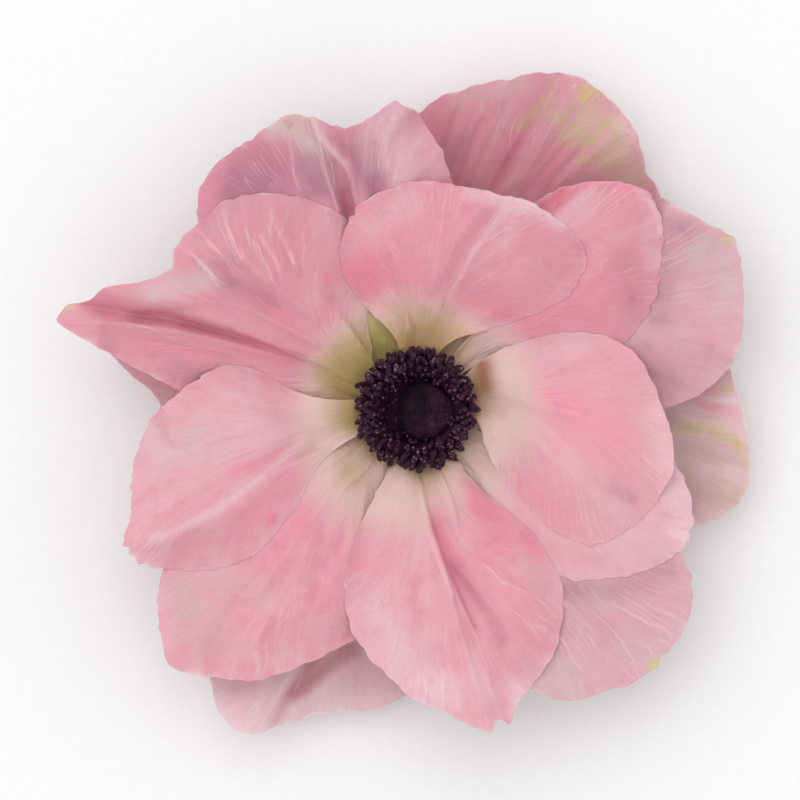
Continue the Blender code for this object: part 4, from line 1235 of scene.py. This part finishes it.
def add_stalk(material):
    """Receptacle and snipped stalk, turned, with shallow ribs down the stalk."""
    profile = np.array((
        (0.0, 2.2), (2.6, 2.2), (3.2, 2.05), (3.4, 1.7), (3.45, 0.9), (4.1, 0.35), (4.5, 0.1),
        (4.6, -0.8), (4.62, -2.0), (4.6, -3.2), (4.5, -3.8), (4.15, -4.3), (3.6, -4.9), (3.0, -5.5),
        (2.5, -6.05), (2.3, -6.5), (2.24, -6.9), (2.16, -7.1), (2.0, -7.18), (1.5, -7.12), (0.0, -7.1),
    ))
    columns = 96
    points = [(0.0, 0.0, profile[0, 1])]
    for radius, height in profile[1:-1]:
        for k in range(columns):
            angle = math.tau * k / columns
            rib = 0.05 * math.cos(14 * angle) * min(max((-3.6 - height) / 2.6, 0), 1)
            points.append(((radius + rib) * math.cos(angle), (radius + rib) * math.sin(angle), height))
    points.append((0.0, 0.0, profile[-1, 1]))
    last = len(points) - 1
    faces = [(a, d, c, b) for a, b, c, d in wall_faces(columns, len(profile) - 2, 1)]
    for k in range(columns):
        after = (k + 1) % columns
        faces.append((0, 1 + k, 1 + after))
        faces.append((last, last - columns + after, last - columns + k))
    return add_mesh("bloom_stalk_end", np.array(points), faces, material)


class Graph:
    """Short calls for building a material's nodes."""

    def __init__(self, name):
        self.material = bpy.data.materials.new(name)
        self.material.use_nodes = True
        self.tree = self.material.node_tree
        self.shader = self.tree.nodes["Principled BSDF"]

    def node(self, kind, **settings):
        made = self.tree.nodes.new(kind)
        for name, value in settings.items():
            setattr(made, name, value)
        return made

    def feed(self, socket, value):
        if isinstance(value, bpy.types.NodeSocket):
            self.tree.links.new(value, socket)
        else:
            socket.default_value = value

    def math(self, operation, first, second=0.0, third=0.0, clamp=False):
        made = self.node("ShaderNodeMath", operation=operation, use_clamp=clamp)
        for socket, value in zip(made.inputs, (first, second, third)):
            self.feed(socket, value)
        return made.outputs[0]

    def times(self, first, second, clamp=False):
        return self.math("MULTIPLY", first, second, clamp=clamp)

    def times_plus(self, first, second, third):
        return self.math("MULTIPLY_ADD", first, second, third)

    def mix(self, factor, first, second):
        """A colour between two others, by a factor that is kept within 0 and 1."""
        made = self.node("ShaderNodeMix", data_type="RGBA", clamp_factor=True)
        self.feed(made.inputs[0], factor)
        self.feed(made.inputs[6], first)
        self.feed(made.inputs[7], second)
        return made.outputs[2]

    def blend(self, factor, first, second):
        """A number between two others."""
        made = self.node("ShaderNodeMix", data_type="FLOAT", clamp_factor=True)
        for socket, value in zip(made.inputs, (factor, None, first, second)):
            if value is not None:
                self.feed(socket, value)
        return made.outputs[0]

    def pleats(self, position, width):
        """Thin lines where a position crosses each half number, and the soft folds they crown."""
        away = self.math("ABSOLUTE", self.math("SUBTRACT", self.math("FRACT", position), 0.5))
        return self.ramp(away, width, 0.0), self.ramp(away, 0.5, 0.0)

    def ramp(self, value, low, high):
        """0 below low, 1 above high, smooth between."""
        made = self.node("ShaderNodeMapRange", interpolation_type="SMOOTHSTEP")
        for socket, number in zip(made.inputs, (value, low, high, 0.0, 1.0)):
            self.feed(socket, number)
        return made.outputs[0]

    def attribute(self, name):
        return self.node("ShaderNodeAttribute", attribute_name=name).outputs["Fac"]

    def varied(self, kind, noise, gain, level=1.0):
        """A kind of colour's strength, made stronger and weaker about a level by a noise."""
        return self.times(self.attribute(kind), self.times_plus(noise, gain, level))

    def place(self):
        return self.node("ShaderNodeTexCoord").outputs["Object"]

    def split(self, vector):
        made = self.node("ShaderNodeSeparateXYZ")
        self.feed(made.inputs[0], vector)
        return made.outputs

    def noise(self, coordinates, scale, detail=2.0, roughness=0.5):
        """Noise about 0.5, with one scale or a scale for each axis."""
        stretched = self.node("ShaderNodeVectorMath", operation="MULTIPLY")
        self.feed(stretched.inputs[0], coordinates)
        stretched.inputs[1].default_value = scale if isinstance(scale, tuple) else (scale, scale, scale)
        made = self.node("ShaderNodeTexNoise", noise_type="FBM")
        self.feed(made.inputs["Vector"], stretched.outputs[0])
        made.inputs["Scale"].default_value = 1.0
        made.inputs["Detail"].default_value = detail
        made.inputs["Roughness"].default_value = roughness
        return made.outputs["Fac"]

    def unevenness(self, coordinates, scale, detail, roughness):
        """Noise about 0."""
        return self.math("SUBTRACT", self.noise(coordinates, scale, detail, roughness), 0.5)

    def bump(self, height, strength, distance):
        made = self.node("ShaderNodeBump")
        made.inputs["Strength"].default_value = strength
        made.inputs["Distance"].default_value = distance
        self.feed(made.inputs["Height"], height)
        self.feed(self.shader.inputs["Normal"], made.outputs[0])

    def set(self, **values):
        """Numbers and colours that are the same all over, and links, by the shader's socket names."""
        for name, value in values.items():
            self.feed(self.shader.inputs[name.replace("_", " ")], value)


def tepal_material(name, pink, roughness):
    """Skin of a tepal: fine streaks along the veins over soft patches, thin wrinkles with painted highlights
    on their crests, a pale base ring, and green or brown within it. Some tints are painted light and shade."""
    graph = Graph(name)
    veined = graph.node("ShaderNodeUVMap", uv_map="Tepal").outputs[0]
    across, along, _ = graph.split(veined)
    place = graph.place()
    outwards = graph.ramp(along, 0.45, 0.85)
    inner = graph.noise(veined, (85, 2.6, 1), 3, 0.6)
    outer = graph.noise(veined, (230, 6, 1), 3, 0.6)
    streak = graph.math("SUBTRACT", graph.blend(outwards, inner, outer), 0.5)
    broad = graph.unevenness(veined, (22, 2.2, 1), 3, 0.6)
    mottle = graph.unevenness(place, 260, 4, 0.62)
    cloud = graph.ramp(graph.noise(place, 420, 3, 0.6), 0.52, 0.70)
    grain = graph.noise(place, 3000)
    crumple = graph.noise(place, 1000, 3, 0.6)

    # Two sets of wrinkles that sway as they run outwards, and the places where they show
    sway = graph.times(graph.noise(veined, (7, 3.0, 1)), 4.0)
    fine_sway = graph.times(graph.noise(veined, (16, 4.5, 1)), 4.0)
    ridge, fold = graph.pleats(graph.times_plus(across, 30.0, sway), 0.13)
    fine_ridge, fine_fold = graph.pleats(graph.times_plus(across, 76.0, fine_sway), 0.24)
    patchy = graph.ramp(graph.noise(place, 170), 0.44, 0.66)
    crinkled = graph.times_plus(patchy, 0.24, graph.attribute("crinkle"))
    some = graph.ramp(graph.noise(veined, (30, 3.0, 1), 3, 0.6), 0.47, 0.60)
    some = graph.times(some, crinkled, clamp=True)
    fine_some = graph.ramp(graph.noise(veined, (56, 4.0, 1), 3, 0.6), 0.45, 0.60)
    fine_some = graph.times(fine_some, crinkled, clamp=True)

    # Tints over the whole tepal and its patches, each laid over those before it
    # Paler tint, also painted light on ridges and where the tepal lies in shade
    pale = graph.times_plus(mottle, 1.1, graph.attribute("pale"))
    pale = graph.times_plus(streak, 0.5, graph.times_plus(broad, 0.9, pale))
    colour = graph.mix(pale, pink, PALE)
    blush = graph.varied("blush", broad, 1.2, 0.95)
    colour = graph.mix(graph.times_plus(streak, 0.4, blush), colour, BLUSH)
    # Deep pink, also painted shade along the folds
    colour = graph.mix(graph.varied("deep_pink_and_fold_shade", streak, 1.4), colour, DEEP_PINK_AND_FOLD_SHADE)
    # Mauve, also painted shade in creases and beside the margins of tepals above
    mauve_and_shade = graph.varied("mauve_and_shade", mottle, 2.0)
    colour = graph.mix(graph.times_plus(cloud, 0.16, mauve_and_shade), colour, MAUVE_AND_SHADE)
    ash = graph.times(graph.varied("ash", mottle, 2.4), graph.times_plus(streak, 1.6, 1.0))
    colour = graph.mix(ash, colour, ASH)
    # Painted highlights on the crests of the wrinkles
    colour = graph.mix(graph.times(graph.times(ridge, some), 0.48), colour, PAINTED_LIGHT)
    colour = graph.mix(graph.times(graph.times(fine_ridge, fine_some), 0.45), colour, PAINTED_LIGHT)
    # Painted light over the tepal: highlights, and lightening where it lies in shade
    colour = graph.mix(graph.varied("light", streak, 1.2, 0.8), colour, PAINTED_LIGHT)
    colour = graph.mix(graph.varied("sand", mottle, 1.6), colour, SAND)

    # The pale base ring and the darker area inside it
    cream = graph.ramp(graph.times_plus(streak, 3.4, graph.attribute("cream")), -1.7, 1.3)
    colour = graph.mix(cream, colour, CREAM)
    olive = graph.times_plus(streak, 1.8, graph.attribute("olive"))
    olive = graph.ramp(graph.times_plus(mottle, 1.6, olive), -1.2, 1.4)
    inside = graph.mix(graph.attribute("hue"), OLIVE, BROWN)
    colour = graph.mix(graph.times(olive, 0.9), colour, inside)

    # Flecks, veins, the painted highlight along the margin, and the duller underside
    spotted = graph.ramp(graph.times_plus(streak, 0.7, mottle), -0.14, 0.12)
    colour = graph.mix(graph.times(graph.attribute("lime"), spotted), colour, LIME)
    colour = graph.mix(graph.attribute("rust"), colour, RUST)
    near_base = graph.ramp(graph.attribute("olive"), -2.4, 0.2)
    lines = graph.ramp(graph.noise(veined, (150, 1.8, 1)), 0.58, 0.72)
    vein = graph.times(lines, graph.times_plus(near_base, 0.09, 0.06))
    colour = graph.mix(vein, colour, graph.mix(near_base, BLUSH, BROWN))
    lit = graph.times(graph.attribute("edge"), graph.ramp(broad, -0.02, 0.14))
    colour = graph.mix(graph.times(lit, 0.40), colour, PAINTED_LIGHT)
    colour = graph.mix(graph.times(graph.attribute("under"), 0.45), colour, UNDER)

    height = graph.times_plus(grain, 0.12, graph.times(streak, 0.8))
    height = graph.times_plus(crumple, 0.9, height)
    height = graph.times_plus(graph.times(fold, some), 0.9, height)
    height = graph.times_plus(graph.times(fine_fold, fine_some), 0.5, height)
    graph.bump(height, 0.8, 0.00016)
    graph.set(
        Base_Color=colour, Roughness=graph.times_plus(streak, 0.25, roughness), Specular_IOR_Level=0.25,
        Subsurface_Weight=0.5, Subsurface_Radius=(0.9, 1.0, 0.95), Subsurface_Scale=0.0004, Sheen_Weight=0.05,
    )
    return graph.material


def dark_material(name, base, light, roughness, scale):
    """Near-black purple skin with soft lighter mottling and a fine grain, barely shiny. On the anthers the
    lighter mottling is painted glints; on the filaments it is redder patches.
    """
    graph = Graph(name)
    place = graph.place()
    mottle = graph.ramp(graph.noise(place, scale, 3, 0.55), 0.55, 0.72)
    grain = graph.noise(place, 4 * scale)
    graph.set(
        Base_Color=graph.mix(mottle, base, light), Roughness=graph.times_plus(grain, 0.2, roughness),
        Specular_IOR_Level=0.24, Specular_Tint=srgb(224, 186, 214),
    )
    graph.bump(grain, 0.4, 0.00005)
    return graph.material


def pistil_material():
    """Dark purple skin of the dome, with painted light and shade: the gaps between the beads are near black
    as painted shade, the beads' tops are lighter, and the beads on one side lighter still as painted light.
    """
    graph = Graph("pistil_skin")
    place = graph.place()
    mottle = graph.noise(place, 700, 3, 0.6)
    spots = graph.ramp(mottle, 0.35, 0.7)
    # Beads in painted shade and in painted light, blended across the dome
    shaded_beads = graph.mix(spots, srgb(26, 12, 20), srgb(52, 26, 42))
    lit_beads = graph.mix(spots, srgb(64, 28, 48), srgb(112, 60, 92))
    bead = graph.mix(graph.attribute("painted_lit_side"), shaded_beads, lit_beads)
    lifted = graph.ramp(graph.attribute("lifted"), 0.35, 1.0)
    graph.set(
        # The gaps between the beads are painted near black as shade
        Base_Color=graph.mix(lifted, srgb(10, 4, 8), bead), Roughness=graph.times_plus(mottle, 0.2, 0.55),
        Specular_IOR_Level=0.12,
    )
    graph.bump(graph.noise(place, 5000), 0.3, 0.00004)
    return graph.material


def stalk_material():
    """Green stalk with lengthwise fibres, paler where it was cut, dark where it rises between the claws."""
    graph = Graph("green_stalk")
    place = graph.place()
    fibre = graph.noise(place, (2200, 2200, 160), 3, 0.6)
    mottle = graph.noise(place, (500, 500, 300), 3, 0.55)
    level = graph.split(place)[2]
    colour = graph.mix(fibre, srgb(96, 122, 58), srgb(150, 164, 92))
    colour = graph.mix(graph.times(graph.ramp(mottle, 0.5, 0.8), 0.5), colour, srgb(128, 92, 84))
    colour = graph.mix(graph.ramp(level, 0.0012, 0.0002), colour, srgb(196, 204, 150))
    within = graph.ramp(level, (GROUND - 0.6) * MM, (GROUND + 0.4) * MM)
    colour = graph.mix(within, colour, srgb(36, 18, 30))
    graph.set(
        Base_Color=colour, Roughness=graph.times_plus(mottle, 0.25, 0.42), Specular_IOR_Level=0.3,
        Subsurface_Weight=0.1, Subsurface_Scale=0.0008,
    )
    graph.bump(fibre, 0.5, 0.0001)
    return graph.material


def floor_material():
    """Plain pale studio floor with the faintest tooth."""
    graph = Graph("studio_floor")
    tooth = graph.noise(graph.place(), 900)
    graph.set(Base_Color=graph.mix(tooth, (0.90, 0.90, 0.90, 1), (0.94, 0.94, 0.94, 1)), Roughness=0.85)
    return graph.material


def add_studio():
    """Floor, soft lights and the camera straight above the bloom."""
    scene = bpy.context.scene
    mesh = bpy.data.meshes.new("studio_floor")
    corners = [(x * FLOOR_HALF, y * FLOOR_HALF, 0) for x, y in ((-1, -1), (1, -1), (1, 1), (-1, 1))]
    mesh.from_pydata(corners, [], [(0, 1, 2, 3)])
    mesh.materials.append(floor_material())
    floor = add_object("studio_floor", mesh)

    scene.world = bpy.data.worlds.new("studio_light")
    scene.world.use_nodes = True
    light = scene.world.node_tree.nodes["Background"].inputs
    light["Color"].default_value = (1.0, 1.0, 1.0, 1.0)
    light["Strength"].default_value = WORLD_LIGHT
    lamp = bpy.data.lights.new("key_light", "AREA")
    lamp.shape = "DISK"
    lamp.size = LAMP_SIZE
    lamp.energy = LAMP_POWER
    key = add_object("key_light", lamp)
    key.location = LAMP_PLACE
    key.rotation_euler = Vector(LAMP_PLACE).to_track_quat("Z", "Y").to_euler()

    view = bpy.data.cameras.new("photo_camera")
    view.sensor_width = SENSOR
    view.lens = SENSOR * CAMERA_DISTANCE / CAMERA_FIELD
    view.clip_start = 0.05
    view.clip_end = 20
    scene.camera = add_object("photo_camera", view)
    scene.camera.location = (*CAMERA_AIM, CAMERA_LEVEL + CAMERA_DISTANCE)
    scene.view_settings.view_transform = "Standard"
    scene.view_settings.exposure = 0.0


def build():
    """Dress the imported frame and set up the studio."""
    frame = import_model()

    inner = tepal_material("inner_tepal_skin", PINK, 0.52)
    # The two lower layers get a slightly paler pink, partly painted light that lightens the shade they lie in
    outer = tepal_material("outer_tepal_skin", srgb(220, 156, 173), 0.56)
    solids = []
    surfaces = []
    for index, tepal in enumerate(TEPALS):
        veins = tepal_grid(tepal)
        heights = press_under(veins, solids)
        for vein, row in zip(veins, heights):
            for point, height in zip(vein, row):
                point.z = height
        solid = frame["nodes"][tepal["name"]].data
        corners = [tuple(face.vertices) for face in solid.polygons]
        solids.append(BVHTree.FromPolygons([vertex.co for vertex in solid.vertices], corners))
        surfaces.append(fine_surface(tepal, veins, np.random.default_rng(40 + index)))
    placed = []
    for index in reversed(range(len(TEPALS))):
        tepal, surface = TEPALS[index], surfaces[index]
        lay_on(surface, placed)
        placed.append(search_tree(surface))
        piece = add_tepal(index, tepal, surface, inner if tepal["layer"] < 2 else outer)
        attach(piece, "root")
        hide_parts(tepal["name"])

    # The anthers' lighter mottling is painted glints
    anthers, filaments = add_stamens(
        dark_material("anther_skin", srgb(46, 22, 36), srgb(150, 108, 136), 0.24, 2400),
        dark_material("filament_skin", srgb(44, 14, 32), srgb(96, 30, 58), 0.45, 700),
    )
    dome = add_dome(pistil_material())
    stalk = add_stalk(stalk_material())
    for piece, node in (
        (anthers, "stamens"), (filaments, "stamens"), (dome, "pistil_dome"),
        (stalk, "receptacle_with_stalk_end"),
    ):
        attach(piece, "root")
        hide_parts(node)

    add_studio()


build()
